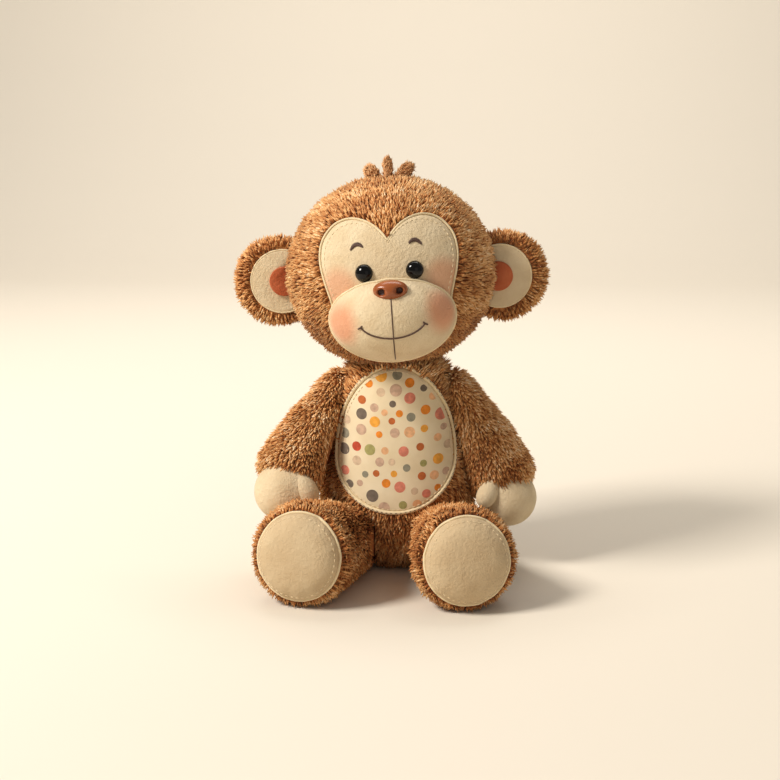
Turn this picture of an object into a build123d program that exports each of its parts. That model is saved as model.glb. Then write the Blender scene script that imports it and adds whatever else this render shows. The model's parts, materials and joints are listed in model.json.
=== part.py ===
"""Seated stuffed monkey, jointed like a teddy bear: sewn fabric skins around fibre stuffing,
with plastic disc joints at the neck, shoulders and hips.

Millimetres. +Z is up, -Y is the way the toy faces, +X is the toy's own left.
The origin is the middle of the flat panel that it sits on.
"""
from build123d import *
from math import asin, cos, radians, sin, sqrt
import os

# ---- driving dimensions -------------------------------------------------------------------
FABRIC = 2.0                  # backing cloth with its seam allowance
FELT = 1.0                    # applique cloth
FILL_GAP = 0.3                # between a skin and its stuffing
TURN_GAP = 0.3                # between two parts that turn on each other
RUN_FIT = 0.1                 # radial clearance of a stem in its hole

# torso: two balls and the cone between them, made shallower front to back
BELLY_RADIUS = 56.0
BELLY_HEIGHT = 48.0
CHEST_RADIUS = 43.0
CHEST_HEIGHT = 112.0
TORSO_DEPTH = 0.85            # depth over width
TORSO_TOP = 143.0
PATCH_CENTRE = 84.0           # height of the tummy patch at its widest
PATCH_WIDE = 43.0             # its half width, and its reach below and above that height
PATCH_LOW = 36.5
PATCH_HIGH = 57.0
TRIM_WIDE = 2.4
TRIM_THICKNESS = 1.6
PANEL_SEMI = (25.0, 20.0)
BAG_SEMI = (29.0, 12.5, 16.0)
BAG_CENTRE = (0.0, 19.5, 20.0)

# head
HEAD_SEMI = (70.0, 62.0, 64.5)
HEAD_CENTRE = (0.0, -7.0, 214.3)
NECK_PIVOT = (0.0, 0.0, 146.0)
HEAD_LEAN = -4.0              # the head's lean to one side, about Y
HEAD_TURN = 3.0               # the head's turn at rest, about Z
NECK_DISC_HEIGHT = 160.5      # underside of the disc in the head
NOD_ROOM = 3.5                # how far the head's stuffing stands off the neck disc
NECK_HOLE = 4.6               # the gathered opening under the head
MUZZLE_SEMI = (43.4, 34.0, 30.0)
MUZZLE_CENTRE = (0.0, -54.0, 191.0)

# ears
EAR_RADIUS = 29.5
EAR_THICKNESS = 12.0
EAR_CENTRE = (81.8, 4.0, 211.0)
EAR_LINING_RADIUS = 23.0
EAR_DOT_RADIUS = 11.0
EAR_LINING_SHIFT = -3.0       # the lining and the dot sit a little towards the head
EAR_DOT_SHIFT = -4.5
EAR_LINING_CROWN = 60.0       # how gently the lining is rounded
EAR_CLEARANCE = 2.5           # room for the ear to fold beside the head
EAR_LEAN = 2.5                # the ears are level while the head leans, so they lean back this much

# face
EYE_RADIUS = 6.1
EYE_HEIGHT = 5.4
EYE_PLACE = (16.8, 222.2)     # x, z
EYE_STEM = (2.2, 9.0)         # radius, length
EYE_WASHER = (6.2, 1.5)       # radius, thickness
WASHER_BACK = FABRIC + 0.6    # a flat lock washer behind rounded cloth
PATCH_LOBE = (22.5, 233.5, 23.5)      # x, z and radius of the face patch's round lobes
PATCH_OVAL = (208.0, 44.0, 43.0)      # z and half axes of the oval below them
BROW_PLACE = (19.9, 239.3)
BROW_ARC = ((-4.2, 0.4), (0.2, 1.8), (4.2, -1.8))     # three points of a brow about that place
BROW_THICKNESS = 2.2
THREAD = 0.8                  # how far stitching stands off its cloth
NOSE_SEMI = (11.4, 7.0, 6.9)
NOSE_HEIGHT = 211.2
NOSE_SHANK = (2.5, 6.5)       # radius, length
NOSE_SHANK_SLOPE = (0.0, 0.45, -0.89)
NOSE_WASHER_RADIUS = 4.6
SMILE_WIDE = 21.5
SMILE_ENDS = 188.0
SMILE_LOW = 180.0
SMILE_WIDTH = 1.4
SEAM_WIDTH = 1.0
SEAM_FOOT = 163.0
HAIR = ((-38.0, 10.5, -3.0), (0.0, 12.7, 3.0), (36.0, 9.5, 8.0))   # lean, half length, x of each petal
HAIR_ROOT = 4.0               # how much of a petal lies under the crown of the head
HAIR_CROWN = 1.5              # the crown's fall at the side petals
HAIR_SEMI = (4.2, 3.0)        # half width and half depth of a petal

# arms
SHOULDER = (47.5, 0.0, 128.5)
SHOULDER_SLOPE = 14.5         # the shoulder axis rises outwards by this much
ARM_SPREAD = 24.0             # the hanging arm's angle from vertical, seen from the front
ARM_RADII = (16.0, 21.5)
CUFF = 70.0                   # shoulder to cuff seam, along the arm
HAND_RADII = (18.8, 21.5)
HAND_LENGTH = 16.0            # cuff seam to the middle of the hand
THUMB_ROOT = (-10.0, -14.0, CUFF + 6.0)      # in the arm's frame
THUMB_RADII = (6.0, 8.0)
THUMB_LENGTH = 11.0
THUMB_SPREAD = 14.0           # the thumb stands off the hand by this angle
ARM_FLAT = 10.5               # middle of the shoulder to the arm's flat inner side
ARM_SWING = {"left": 8.0, "right": 30.0}      # how far forward each arm rests

# legs
HIP = (30.5, -22.0, 22.0)
LEG_RADII = (22.0, 33.0)
LEG_LENGTH = 80.0             # hip to the middle of the foot
SOLE_PLANE = 97.0             # hip to the seam of the sole
FOOT_HEIGHT = 33.5
FOOT_OUT = {"left": 19.0, "right": 27.0}      # how far each foot lies outside its hip
HIP_FLAT = 14.0               # half the width of the torso between the hips
LEG_STOPS = (8.0, 0.0, -30.0, -60.0, -90.0)   # angles of the leg's swing that the torso clears
LEG_CLEARANCE = 1.0
SOLE_SEMI = (26.5, 28.0)
SOLE_THICKNESS = 4.0

# disc joints: disc radius, disc thickness, stem radius, washer radius, lock washer radius
NECK_JOINT = (15.0, 2.5, 3.0, 15.0, 7.0)
SHOULDER_JOINT = (9.5, 2.2, 2.5, 9.5, 6.0)
HIP_JOINT = (12.0, 2.5, 2.5, 11.0, 6.0)
WASHER = 2.0
LOCK_WASHER = 1.5
STEM_END = 1.2                # stem that shows past its lock washer
SNUG = 0.1                    # between pieces that only touch

SIDES = {"left": 1, "right": -1}
LONG = 400.0                  # longer than the toy: the reach of cutting blocks

nodes = {}


# ---- shapes ---------------------------------------------------------------------------------
def ellipsoid(semi, centre, grow=0.0):
    return Pos(*centre) * scale(Sphere(1), by=tuple(s + grow for s in semi))


def tapered(radii, length, grow=0.0):
    """Two balls joined by their tangent cone, along +Z from the middle of the first."""
    slope = asin((radii[1] - radii[0]) / length)
    small, large = (r + grow for r in radii)
    leave = (small * cos(slope), -small * sin(slope))
    meet = (large * cos(slope), length - large * sin(slope))
    half = radians(45)
    outline = [
        ThreePointArc((0, -small), (small * cos(half + slope / 2), -small * sin(half + slope / 2)), leave),
        Line(leave, meet),
        ThreePointArc(meet, (large * cos(half), length + large * sin(half)), (0, length + large)),
        Line((0, length + large), (0, -small)),
    ]
    return revolve(Plane.XZ * make_face(outline), Axis.Z)


def rod(start, direction, radius, length):
    """A cylinder from a point along a direction."""
    return Plane(origin=start, z_dir=direction) * Pos(0, 0, length / 2) * Cylinder(radius, length)


def along(point, direction, distance):
    return tuple(p + d * distance for p, d in zip(point, direction))


def beyond(point, direction):
    """Everything past a plane."""
    return Plane(origin=point, z_dir=direction) * Pos(0, 0, LONG / 2) * Box(LONG, LONG, LONG)


def prism(face, near, far):
    """A face drawn in x and z, run along Y from one depth to another."""
    return Pos(0, far, 0) * extrude(Plane.XZ * face, far - near)


def mirrored(shape, side):
    return shape if side > 0 else mirror(shape, Plane.YZ)


def solid_of(shape):
    """The one solid that is meant: the largest, when a cut has left crumbs."""
    return max(shape.solids(), key=lambda s: s.volume)


# ---- disc joint -----------------------------------------------------------------------------
def disc_joint(face, axis, moving_wall, sizes):
    """The plastic joint through two walls. face is the middle of the still part's outer face and
    axis points from there into the moving part. Returns the disc with its stem, the washer,
    the lock washer and the hole that the stem runs in."""
    disc_radius, disc_thickness, stem_radius, washer_radius, lock_radius = sizes
    back = tuple(-a for a in axis)
    washer_at = FABRIC + SNUG
    lock_at = washer_at + WASHER + SNUG
    stem = moving_wall + lock_at + LOCK_WASHER + STEM_END
    disc_face = along(face, axis, moving_wall)
    disc = rod(disc_face, axis, disc_radius, disc_thickness) + rod(disc_face, back, stem_radius, stem)
    hole = rod(disc_face, back, stem_radius + RUN_FIT, stem + SNUG)
    washer = rod(along(face, back, washer_at), back, washer_radius, WASHER) - hole
    lock = rod(along(face, back, lock_at), back, lock_radius, LOCK_WASHER) - disc
    return disc, washer, lock, hole


# ---- torso ----------------------------------------------------------------------------------
def pear(grow=0.0):
    body = tapered((BELLY_RADIUS, CHEST_RADIUS), CHEST_HEIGHT - BELLY_HEIGHT, grow)
    body = Pos(0, 0, BELLY_HEIGHT) * body
    body -= beyond((0, 0, TORSO_TOP + grow), (0, 0, 1))
    body -= beyond((0, 0, -grow), (0, 0, -1))
    return scale(body, by=(1, TORSO_DEPTH, 1))


def shoulder_axis(side):
    """Out of the torso, square to its flat."""
    slope = radians(SHOULDER_SLOPE)
    return (side * cos(slope), 0.0, sin(slope))


def shoulder_face(side):
    """The middle of the flat that the arm lies against."""
    middle = (side * SHOULDER[0], SHOULDER[1], SHOULDER[2])
    return along(middle, shoulder_axis(side), -ARM_FLAT - TURN_GAP)


def leg_frame(name):
    """The leg's own frame: Z runs from the hip to the foot."""
    side = SIDES[name]
    out = side * FOOT_OUT[name]
    rise = FOOT_HEIGHT - HIP[2]
    reach = sqrt(LEG_LENGTH ** 2 - out ** 2 - rise ** 2)
    hip = (side * HIP[0], HIP[1], HIP[2])
    return Plane(origin=hip, x_dir=(1, out / reach, 0), z_dir=(out, -reach, rise))


def leg_shape(name, grow=0.0):
    side = SIDES[name]
    leg = tapered(LEG_RADII, LEG_LENGTH, grow)
    leg -= Pos(0, 0, LONG / 2 + SOLE_PLANE + grow) * Box(LONG, LONG, LONG)
    leg = leg_frame(name) * leg
    return leg - beyond((side * (HIP_FLAT + TURN_GAP - grow), 0, 0), (-side, 0, 0))


def hip_turn(shape, angle):
    """A leg turned about its hip: a positive angle lifts the foot."""
    return Pos(*HIP) * Rot(-angle, 0, 0) * Pos(*(-c for c in HIP)) * shape


def clear_of_legs(shape, grow=0.0):
    """The shape less the room that each leg needs over its whole swing."""
    for name, side in SIDES.items():
        leg = leg_shape(name, LEG_CLEARANCE + grow)
        leg &= Pos(side * (LONG / 2 + HIP_FLAT - grow), 0, 0) * Box(LONG, LONG, LONG)
        for angle in LEG_STOPS:
            shape -= hip_turn(leg, angle)
    return solid_of(shape)


def torso_shape(grow=0.0):
    body = pear(grow)
    for side in SIDES.values():
        body -= beyond(along(shoulder_face(side), shoulder_axis(side), grow), shoulder_axis(side))
    return clear_of_legs(body, -grow)


def egg(centre, wide, low, high):
    """An egg outline in x and z: half of one ellipse on half of another."""
    bottom = Pos(0, centre) * Ellipse(wide, low) & Pos(0, centre - LONG / 2) * Rectangle(LONG, LONG)
    top = Pos(0, centre) * Ellipse(wide, high) & Pos(0, centre + LONG / 2) * Rectangle(LONG, LONG)
    return bottom + top


def make_torso(joints):
    outer = torso_shape()
    inner = torso_shape(-FABRIC)
    fill = torso_shape(-FABRIC - FILL_GAP)
    panel = extrude(Ellipse(*PANEL_SEMI), FABRIC) & outer
    bag = ellipsoid(BAG_SEMI, BAG_CENTRE)
    skin = outer - inner - panel
    fill -= ellipsoid(BAG_SEMI, BAG_CENTRE, SNUG)
    for disc, washer, lock, hole in joints:
        skin -= hole
        fill -= rough_room(washer, lock, hole)
    nodes["torso_skin"] = skin
    nodes["base_panel"] = panel
    nodes["torso_stuffing"] = fill
    nodes["pellet_bag"] = bag

    front = prism(egg(PATCH_CENTRE, PATCH_WIDE, PATCH_LOW, PATCH_HIGH), -LONG, 0)
    inside = prism(egg(PATCH_CENTRE, PATCH_WIDE - TRIM_WIDE, PATCH_LOW - TRIM_WIDE,
                       PATCH_HIGH - TRIM_WIDE), -LONG, 0)
    nodes["tummy_patch"] = clear_of_legs((pear(FELT) - pear()) & inside)
    nodes["tummy_trim"] = clear_of_legs(((pear(TRIM_THICKNESS) - pear()) & front) - inside)


def rough_room(*pieces):
    """The space that stuffing leaves round hardware: each piece's own box, a little larger."""
    room = None
    for piece in pieces:
        size = piece.bounding_box().size
        box = Pos(*piece.bounding_box().center()) * Box(*(s + 2 * SNUG for s in size))
        room = box if room is None else room + box
    return room


# ---- arms -----------------------------------------------------------------------------------
def arm_frame(side):
    """The hanging arm's own frame: Z runs from the shoulder to the hand."""
    spread = radians(ARM_SPREAD)
    shoulder = (side * SHOULDER[0], SHOULDER[1], SHOULDER[2])
    return Plane(origin=shoulder, x_dir=(side * cos(spread), 0, sin(spread)),
                 z_dir=(side * sin(spread), 0, -cos(spread)))


def arm_swung(shape, name):
    """The arm at rest, swung forward about the shoulder."""
    side = SIDES[name]
    axis = Axis((side * SHOULDER[0], SHOULDER[1], SHOULDER[2]), shoulder_axis(side))
    return shape.rotate(axis, -side * ARM_SWING[name])


def hand_shape(grow=0.0):
    """A mitten with a thumb on its inner front, in the arm's frame."""
    palm = Pos(0, 0, CUFF) * tapered(HAND_RADII, HAND_LENGTH, grow)
    thumb = Pos(*THUMB_ROOT) * Rot(-THUMB_SPREAD, 0, 0) * tapered(THUMB_RADII, THUMB_LENGTH, grow)
    return palm + thumb


def arm_flat(side, grow):
    return beyond(along(shoulder_face(side), shoulder_axis(side), TURN_GAP - grow),
                  tuple(-a for a in shoulder_axis(side)))


def make_arm(name, joint):
    side = SIDES[name]
    frame = arm_frame(side)
    past_cuff = Pos(0, 0, LONG / 2 + CUFF) * Box(LONG, LONG, LONG)
    sleeve, hand = {}, {}
    for grow in (0.0, -FABRIC, -FABRIC - FILL_GAP):
        flat = arm_flat(side, grow)
        sleeve[grow] = frame * (tapered(ARM_RADII, CUFF, grow) - past_cuff) - flat
        hand[grow] = frame * (hand_shape(grow) & past_cuff) - flat
    skin = sleeve[0.0] - sleeve[-FABRIC]
    mitten = hand[0.0] - hand[-FABRIC]
    fill = sleeve[-FABRIC - FILL_GAP] + hand[-FABRIC - FILL_GAP]
    disc, washer, lock, hole = joint
    room = rod(along(shoulder_face(side), shoulder_axis(side), FABRIC), shoulder_axis(side),
               SHOULDER_JOINT[0] + SNUG, SHOULDER_JOINT[1] + FABRIC)
    pieces = {"arm_skin": skin - hole, "hand": mitten, "arm_stuffing": fill - room,
              "shoulder_disc": disc, "shoulder_lock_washer": lock}
    for piece, shape in pieces.items():
        nodes[f"{piece}_{name}"] = arm_swung(solid_of(shape), name)
    nodes[f"shoulder_washer_{name}"] = washer


# ---- legs -----------------------------------------------------------------------------------
def make_leg(name, joint):
    side = SIDES[name]
    outer, inner, fill = (leg_shape(name, g) for g in (0.0, -FABRIC, -FABRIC - FILL_GAP))
    frame = leg_frame(name)
    opening = frame * Pos(0, 0, SOLE_PLANE - FABRIC) * extrude(Ellipse(*SOLE_SEMI), SOLE_THICKNESS)
    sole = fillet(opening.edges().sort_by(Axis(frame.origin, frame.z_dir))[-1], SOLE_THICKNESS / 3)
    disc, washer, lock, hole = joint
    face = (side * (HIP_FLAT + TURN_GAP + FABRIC), HIP[1], HIP[2])
    room = rod(face, (side, 0, 0), HIP_JOINT[0] + SNUG, HIP_JOINT[1] + 2 * SNUG)
    nodes[f"leg_skin_{name}"] = outer - inner - opening - hole
    nodes[f"leg_stuffing_{name}"] = fill - room
    nodes[f"sole_{name}"] = sole
    nodes[f"hip_disc_{name}"] = disc
    nodes[f"hip_lock_washer_{name}"] = lock
    nodes[f"hip_washer_{name}"] = washer


# ---- head -----------------------------------------------------------------------------------
def head_placed(shape):
    """From the upright head to the head as it rests: leaning and slightly turned."""
    to_pivot = Pos(*NECK_PIVOT)
    return to_pivot * Rot(0, 0, HEAD_TURN) * Rot(0, HEAD_LEAN, 0) * to_pivot.inverse() * shape


def head_shape(grow=0.0):
    return ellipsoid(HEAD_SEMI, HEAD_CENTRE, grow)


def muzzle_shape(grow=0.0):
    return ellipsoid(MUZZLE_SEMI, MUZZLE_CENTRE, grow)


def on_head(x, z):
    """The point of the face at x and z, and the direction straight out of it there."""
    a, b, c = HEAD_SEMI
    up = z - HEAD_CENTRE[2]
    depth = sqrt(1 - (x / a) ** 2 - (up / c) ** 2) * b
    normal = Vector(x / a ** 2, -depth / b ** 2, up / c ** 2).normalized()
    return (x, HEAD_CENTRE[1] - depth, z), (normal.X, normal.Y, normal.Z)


def face_outline():
    """Two round lobes over the eyes on one wide oval that runs down behind the muzzle."""
    height, wide, high = PATCH_OVAL
    across, up, radius = PATCH_LOBE
    outline = Pos(0, height) * Ellipse(wide, high)
    for side in SIDES.values():
        outline += Pos(side * across, up) * Circle(radius)
    return outline


def stitched_line(curve, width, shape, shape_below):
    """A line of stitching: a thin band drawn in x and z, raised from a surface by its thread."""
    band = prism(trace(curve, width), -LONG, HEAD_CENTRE[1])
    return (shape & band) - shape_below


def make_eye(name, side):
    point, out = on_head(side * EYE_PLACE[0], EYE_PLACE[1])
    back = tuple(-c for c in out)
    seat = along(point, out, FELT)
    dome = scale(Sphere(EYE_RADIUS), by=(1, 1, EYE_HEIGHT / EYE_RADIUS))
    dome &= Pos(0, 0, LONG / 2) * Box(LONG, LONG, LONG)
    stem = rod(seat, back, *EYE_STEM)
    eye = Plane(origin=seat, z_dir=out) * dome + stem
    washer = rod(along(point, back, WASHER_BACK), back, *EYE_WASHER) - stem
    return {f"eye_{name}": eye, f"eye_lock_washer_{name}": washer}, stem


def make_nose():
    """A moulded nose whose shank goes through the muzzle and locks inside it."""
    up = NOSE_HEIGHT - MUZZLE_CENTRE[2]
    depth = sqrt(1 - (up / MUZZLE_SEMI[2]) ** 2) * MUZZLE_SEMI[1]
    seat = (0, MUZZLE_CENTRE[1] - depth, NOSE_HEIGHT)
    shank = rod(seat, NOSE_SHANK_SLOPE, *NOSE_SHANK) & muzzle_shape()
    nose = ellipsoid(NOSE_SEMI, seat) - muzzle_shape() - head_shape(FELT + SNUG) + shank
    washer = rod(along(seat, NOSE_SHANK_SLOPE, WASHER_BACK * 2), NOSE_SHANK_SLOPE, NOSE_WASHER_RADIUS,
                 EYE_WASHER[1]) - shank
    return {"nose": solid_of(nose), "nose_lock_washer": washer}, shank


def make_hair():
    """Three rounded petals of pile on the crown."""
    top = HEAD_CENTRE[2] + HEAD_SEMI[2]
    tuft = None
    for lean, long, shift in HAIR:
        petal = Pos(0, 0, long - HAIR_ROOT + HAIR_CROWN) * scale(Sphere(1), by=(*HAIR_SEMI, long))
        petal = Pos(shift, HEAD_CENTRE[1], top - HAIR_CROWN) * Rot(0, lean, 0) * petal
        tuft = petal if tuft is None else tuft + petal
    return solid_of(tuft - head_shape())


def make_ear(name, side):
    """A rounded disc with a lining let into its front and a dot sewn on the lining."""
    half = EAR_THICKNESS / 2
    disc = fillet(Cylinder(EAR_RADIUS, EAR_THICKNESS).edges(), half - 0.5)
    recess = Pos(EAR_LINING_SHIFT, 0, half - FABRIC / 2) * Cylinder(EAR_LINING_RADIUS, FABRIC)
    dot = Pos(EAR_DOT_SHIFT, 0, half + FELT / 2) * Cylinder(EAR_DOT_RADIUS, FELT)
    crown = scale(Sphere(1), by=(EAR_LINING_CROWN, EAR_LINING_CROWN, FABRIC * 4))
    lining = recess & Pos(EAR_LINING_SHIFT, 0, half) * crown
    place = Plane(origin=EAR_CENTRE, x_dir=(1, 0, 0), z_dir=(0, -1, 0))
    near_head = head_shape(EAR_CLEARANCE)
    pieces = {"ear_skin": disc - recess, "ear_lining": lining, "ear_dot": dot}
    level = Pos(*HEAD_CENTRE) * Rot(0, EAR_LEAN, 0) * Pos(*(-c for c in HEAD_CENTRE))
    return {f"{piece}_{name}": solid_of(level * mirrored(place * shape - near_head, side))
            for piece, shape in pieces.items()}


def make_head():
    outer, felt_face = head_shape(), head_shape(FELT)
    face = prism(face_outline(), -LONG, HEAD_CENTRE[1]) & (felt_face - outer)
    muzzle = muzzle_shape() - head_shape(FELT + SNUG / 2)
    muzzle_fill = muzzle_shape(-FABRIC - FILL_GAP) - head_shape(FELT + FILL_GAP)
    skin = outer - head_shape(-FABRIC)
    fill = head_shape(-FABRIC - FILL_GAP)
    pieces = {}
    for name, side in SIDES.items():
        eye, stem = make_eye(name, side)
        pieces.update(eye)
        pieces.update(make_ear(name, side))
        skin -= stem
        face -= stem
        fill -= rough_room(eye[f"eye_lock_washer_{name}"], stem)
        across, up = BROW_PLACE
        brow = ThreePointArc(*((side * (across + x), up + z) for x, z in BROW_ARC))
        pieces[f"brow_{name}"] = stitched_line(brow, BROW_THICKNESS, head_shape(FELT + THREAD), felt_face)
    nose, shank = make_nose()
    pieces.update(nose)
    smile = ThreePointArc((-SMILE_WIDE, SMILE_ENDS), (0, SMILE_LOW), (SMILE_WIDE, SMILE_ENDS))
    seam = Line((0, SEAM_FOOT), (0, NOSE_HEIGHT - NOSE_SEMI[2]))
    raised, plain = muzzle_shape(THREAD), muzzle_shape()
    stitches = stitched_line(smile, SMILE_WIDTH, raised, plain)
    stitches += stitched_line(seam, SEAM_WIDTH, raised, plain)
    pieces["mouth_stitching"] = solid_of(stitches - nose["nose"] - outer)
    pieces["muzzle_skin"] = solid_of(muzzle - muzzle_shape(-FABRIC) - shank)
    pieces["muzzle_stuffing"] = solid_of(muzzle_fill - shank - rough_room(nose["nose_lock_washer"]))
    pieces["face_patch"] = solid_of(face)
    pieces["hair_tuft"] = make_hair()
    for piece, shape in pieces.items():
        nodes[piece] = head_placed(shape)
    return head_placed(skin), head_placed(fill)


def make_neck(skin, fill):
    """The neck joint stands upright in the torso; the head rocks a little on its disc."""
    face = (0.0, 0.0, TORSO_TOP)
    joint = disc_joint(face, (0.0, 0.0, 1.0), NECK_DISC_HEIGHT - TORSO_TOP, NECK_JOINT)
    disc, washer, lock, hole = joint
    pocket = rod((0, 0, 0), (0, 0, 1), NECK_JOINT[0] + NOD_ROOM, NECK_DISC_HEIGHT + NECK_JOINT[1] + NOD_ROOM)
    neck_hole = rod((0, 0, 0), (0, 0, 1), NECK_HOLE, NECK_DISC_HEIGHT)
    nodes["neck_disc"] = disc
    nodes["neck_lock_washer"] = lock
    nodes["neck_washer"] = washer
    nodes["head_skin"] = skin - neck_hole
    nodes["head_stuffing"] = solid_of(fill - pocket)
    return joint


# ---- the whole toy --------------------------------------------------------------------------
def build():
    joints = [make_neck(*make_head())]
    for name, side in SIDES.items():
        shoulder = disc_joint(shoulder_face(side), shoulder_axis(side), TURN_GAP + FABRIC + SNUG, SHOULDER_JOINT)
        make_arm(name, shoulder)
        hip = disc_joint((side * HIP_FLAT, HIP[1], HIP[2]), (side, 0, 0), TURN_GAP + FABRIC + SNUG, HIP_JOINT)
        make_leg(name, hip)
        joints += [shoulder, hip]
    make_torso(joints)


build()
os.makedirs("parts", exist_ok=True)
for node, shape in nodes.items():
    shape.label = node
    export_step(shape, f"parts/{node}.step")
    print(f"{node}: {shape.volume / 1000:.2f} cm3, {len(shape.solids())} solid")
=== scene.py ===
# %% [markdown]
# # A seated plush monkey
#
# This lesson dresses a finished mechanical model of a jointed plush monkey in cloth, pile and thread. The
# model holds the joints and the main sizes, and the stuffed bodies start from its skins. The outlines of the
# patches, the thumbs, the camera and the final shaping of the bodies are numbers chosen one by one. The toy
# faces
# -Y, +X is its own left, +Z is up, and lengths are metres.

# %% Load the frame
import json
import math
import bpy
import numpy as np
from mathutils import Matrix, Vector, noise
from mathutils.bvhtree import BVHTree


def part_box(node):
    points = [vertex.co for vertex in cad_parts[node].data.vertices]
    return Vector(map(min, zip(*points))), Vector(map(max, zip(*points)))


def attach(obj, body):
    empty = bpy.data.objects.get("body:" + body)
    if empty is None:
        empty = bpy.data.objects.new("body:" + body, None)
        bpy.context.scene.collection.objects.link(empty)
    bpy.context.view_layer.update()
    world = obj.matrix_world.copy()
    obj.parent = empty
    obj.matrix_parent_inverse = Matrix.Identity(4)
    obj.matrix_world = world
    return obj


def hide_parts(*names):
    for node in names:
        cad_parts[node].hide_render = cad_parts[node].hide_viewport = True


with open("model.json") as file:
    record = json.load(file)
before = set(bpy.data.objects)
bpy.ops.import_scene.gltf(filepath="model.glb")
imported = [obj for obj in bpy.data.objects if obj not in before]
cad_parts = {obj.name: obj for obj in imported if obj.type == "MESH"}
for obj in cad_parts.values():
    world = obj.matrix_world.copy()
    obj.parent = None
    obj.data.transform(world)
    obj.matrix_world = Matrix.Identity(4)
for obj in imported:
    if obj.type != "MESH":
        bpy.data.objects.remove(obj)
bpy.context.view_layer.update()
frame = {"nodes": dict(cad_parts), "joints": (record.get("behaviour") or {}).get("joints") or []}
SIDES = {"left": 1, "right": -1}
MM = 0.001

# %% [markdown]
# ## The camera
#
# The camera stands 0.9 m away, a little above the toy and a few degrees to its left, as a person on the
# floor in front of it would look. Its lens is worked out from how wide the view is at the toy.

# %% Camera
CAMERA_TARGET = Vector((-0.0055, 0.0, 0.128))
CAMERA_AWAY = 0.9
CAMERA_AROUND = math.radians(3.5)
CAMERA_UP = math.radians(11.0)
VIEW_WIDTH = 0.577


def make_camera():
    back = Vector((math.sin(CAMERA_AROUND) * math.cos(CAMERA_UP),
                   -math.cos(CAMERA_AROUND) * math.cos(CAMERA_UP), math.sin(CAMERA_UP)))
    bpy.ops.object.camera_add(location=CAMERA_TARGET + back * CAMERA_AWAY)
    camera = bpy.context.object
    camera.rotation_euler = (-back).to_track_quat("-Z", "Y").to_euler()
    camera.data.sensor_width = 36.0
    camera.data.lens = 36.0 * CAMERA_AWAY / VIEW_WIDTH
    bpy.context.scene.camera = camera
    print("camera at", tuple(round(c, 3) for c in camera.location), "lens", round(camera.data.lens, 1))


make_camera()

# %% [markdown]
# ## Working helpers
#
# Operators act on whatever is selected, so every step starts from a clean selection. The head leans and turns
# a little on its neck, so things that belong to the face are worked out for an upright head and then carried
# over by one matrix.

# %% Selection and modifiers
def only_nothing():
    for other in bpy.context.selected_objects:
        other.select_set(False)


def only(obj):
    only_nothing()
    obj.select_set(True)
    bpy.context.view_layer.objects.active = obj


def apply_modifier(obj, kind, **settings):
    only(obj)
    modifier = obj.modifiers.new(kind.title(), kind)
    for key, value in settings.items():
        setattr(modifier, key, value)
    bpy.ops.object.modifier_apply(modifier=modifier.name)


def points_of(obj):
    co = np.empty(len(obj.data.vertices) * 3)
    obj.data.vertices.foreach_get("co", co)
    return co.reshape(-1, 3)


def set_points(obj, co):
    obj.data.vertices.foreach_set("co", np.ascontiguousarray(co, dtype=np.float32).ravel())
    obj.data.update()


def faces_of(obj):
    count = len(obj.data.polygons)
    centres, normals = np.empty(count * 3), np.empty(count * 3)
    obj.data.polygons.foreach_get("center", centres)
    obj.data.polygons.foreach_get("normal", normals)
    return centres.reshape(-1, 3), normals.reshape(-1, 3)


def smooth_shaded(obj):
    obj.data.polygons.foreach_set("use_smooth", np.ones(len(obj.data.polygons), dtype=bool))
    obj.data.update()


def new_mesh(name, verts, faces):
    mesh = bpy.data.meshes.new(name)
    mesh.from_pydata([tuple(v) for v in verts], [], [tuple(f) for f in faces])
    mesh.validate()
    obj = bpy.data.objects.new(name, mesh)
    bpy.context.scene.collection.objects.link(obj)
    smooth_shaded(obj)
    return obj


def surface_of(obj):
    return BVHTree.FromPolygons([v.co for v in obj.data.vertices], [p.vertices[:] for p in obj.data.polygons])


def done(obj, body, slot, *stands_for):
    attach(obj, body)
    if stands_for:
        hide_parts(*stands_for)
    print(f"{obj.name}: {len(obj.data.polygons)} faces on {body}")
    return obj


# %% The head's own frame
NECK = Vector(next(j["pos_m"] for j in frame["joints"] if j["name"] == "head_turn"))
HEAD_LEAN = math.radians(-4.0)
HEAD_TURN = math.radians(3.0)
HEAD = (Matrix.Translation(NECK) @ Matrix.Rotation(HEAD_TURN, 4, "Z")
        @ Matrix.Rotation(HEAD_LEAN, 4, "Y") @ Matrix.Translation(-NECK))
HEAD_MIDDLE = HEAD @ Vector((0, -0.007, 0.2143))
EARS = (HEAD @ Matrix.Translation((0, -0.007, 0.2143)) @ Matrix.Rotation(math.radians(2.5), 4, "Y")
        @ Matrix.Translation((0, 0.007, -0.2143)))
print("head middle:", tuple(round(c, 4) for c in HEAD_MIDDLE))


def to_frame(co, matrix):
    return co @ np.array(matrix.to_3x3()).T + np.array(matrix.translation)


# %% [markdown]
# ## Finishes
#
# Five finishes cover the toy: long brown pile, short velour, printed cotton, thread and piping, and moulded
# plastic. Pile is built as real tufts, so its colours are plain dyes, one material for each shade:
# locks catch light at every angle by themselves. Short velour is too fine for tufts, so it gets a fine bump,
# sheen and a little unevenness in its dye.

# %% Material helpers
def dye(red, green, blue):
    """A colour as a swatch card gives it, 0 to 255, made linear."""
    def linear(c):
        c /= 255
        return c / 12.92 if c <= 0.04045 else ((c + 0.055) / 1.055) ** 2.4
    return (linear(red), linear(green), linear(blue), 1.0)


def finish(name, colour, roughness=0.8, **sockets):
    material = bpy.data.materials.new(name)
    material.use_nodes = True
    shader = material.node_tree.nodes["Principled BSDF"]
    shader.inputs["Base Color"].default_value = colour
    shader.inputs["Roughness"].default_value = roughness
    for key, value in sockets.items():
        shader.inputs[key.replace("_", " ")].default_value = value
    return material


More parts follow.
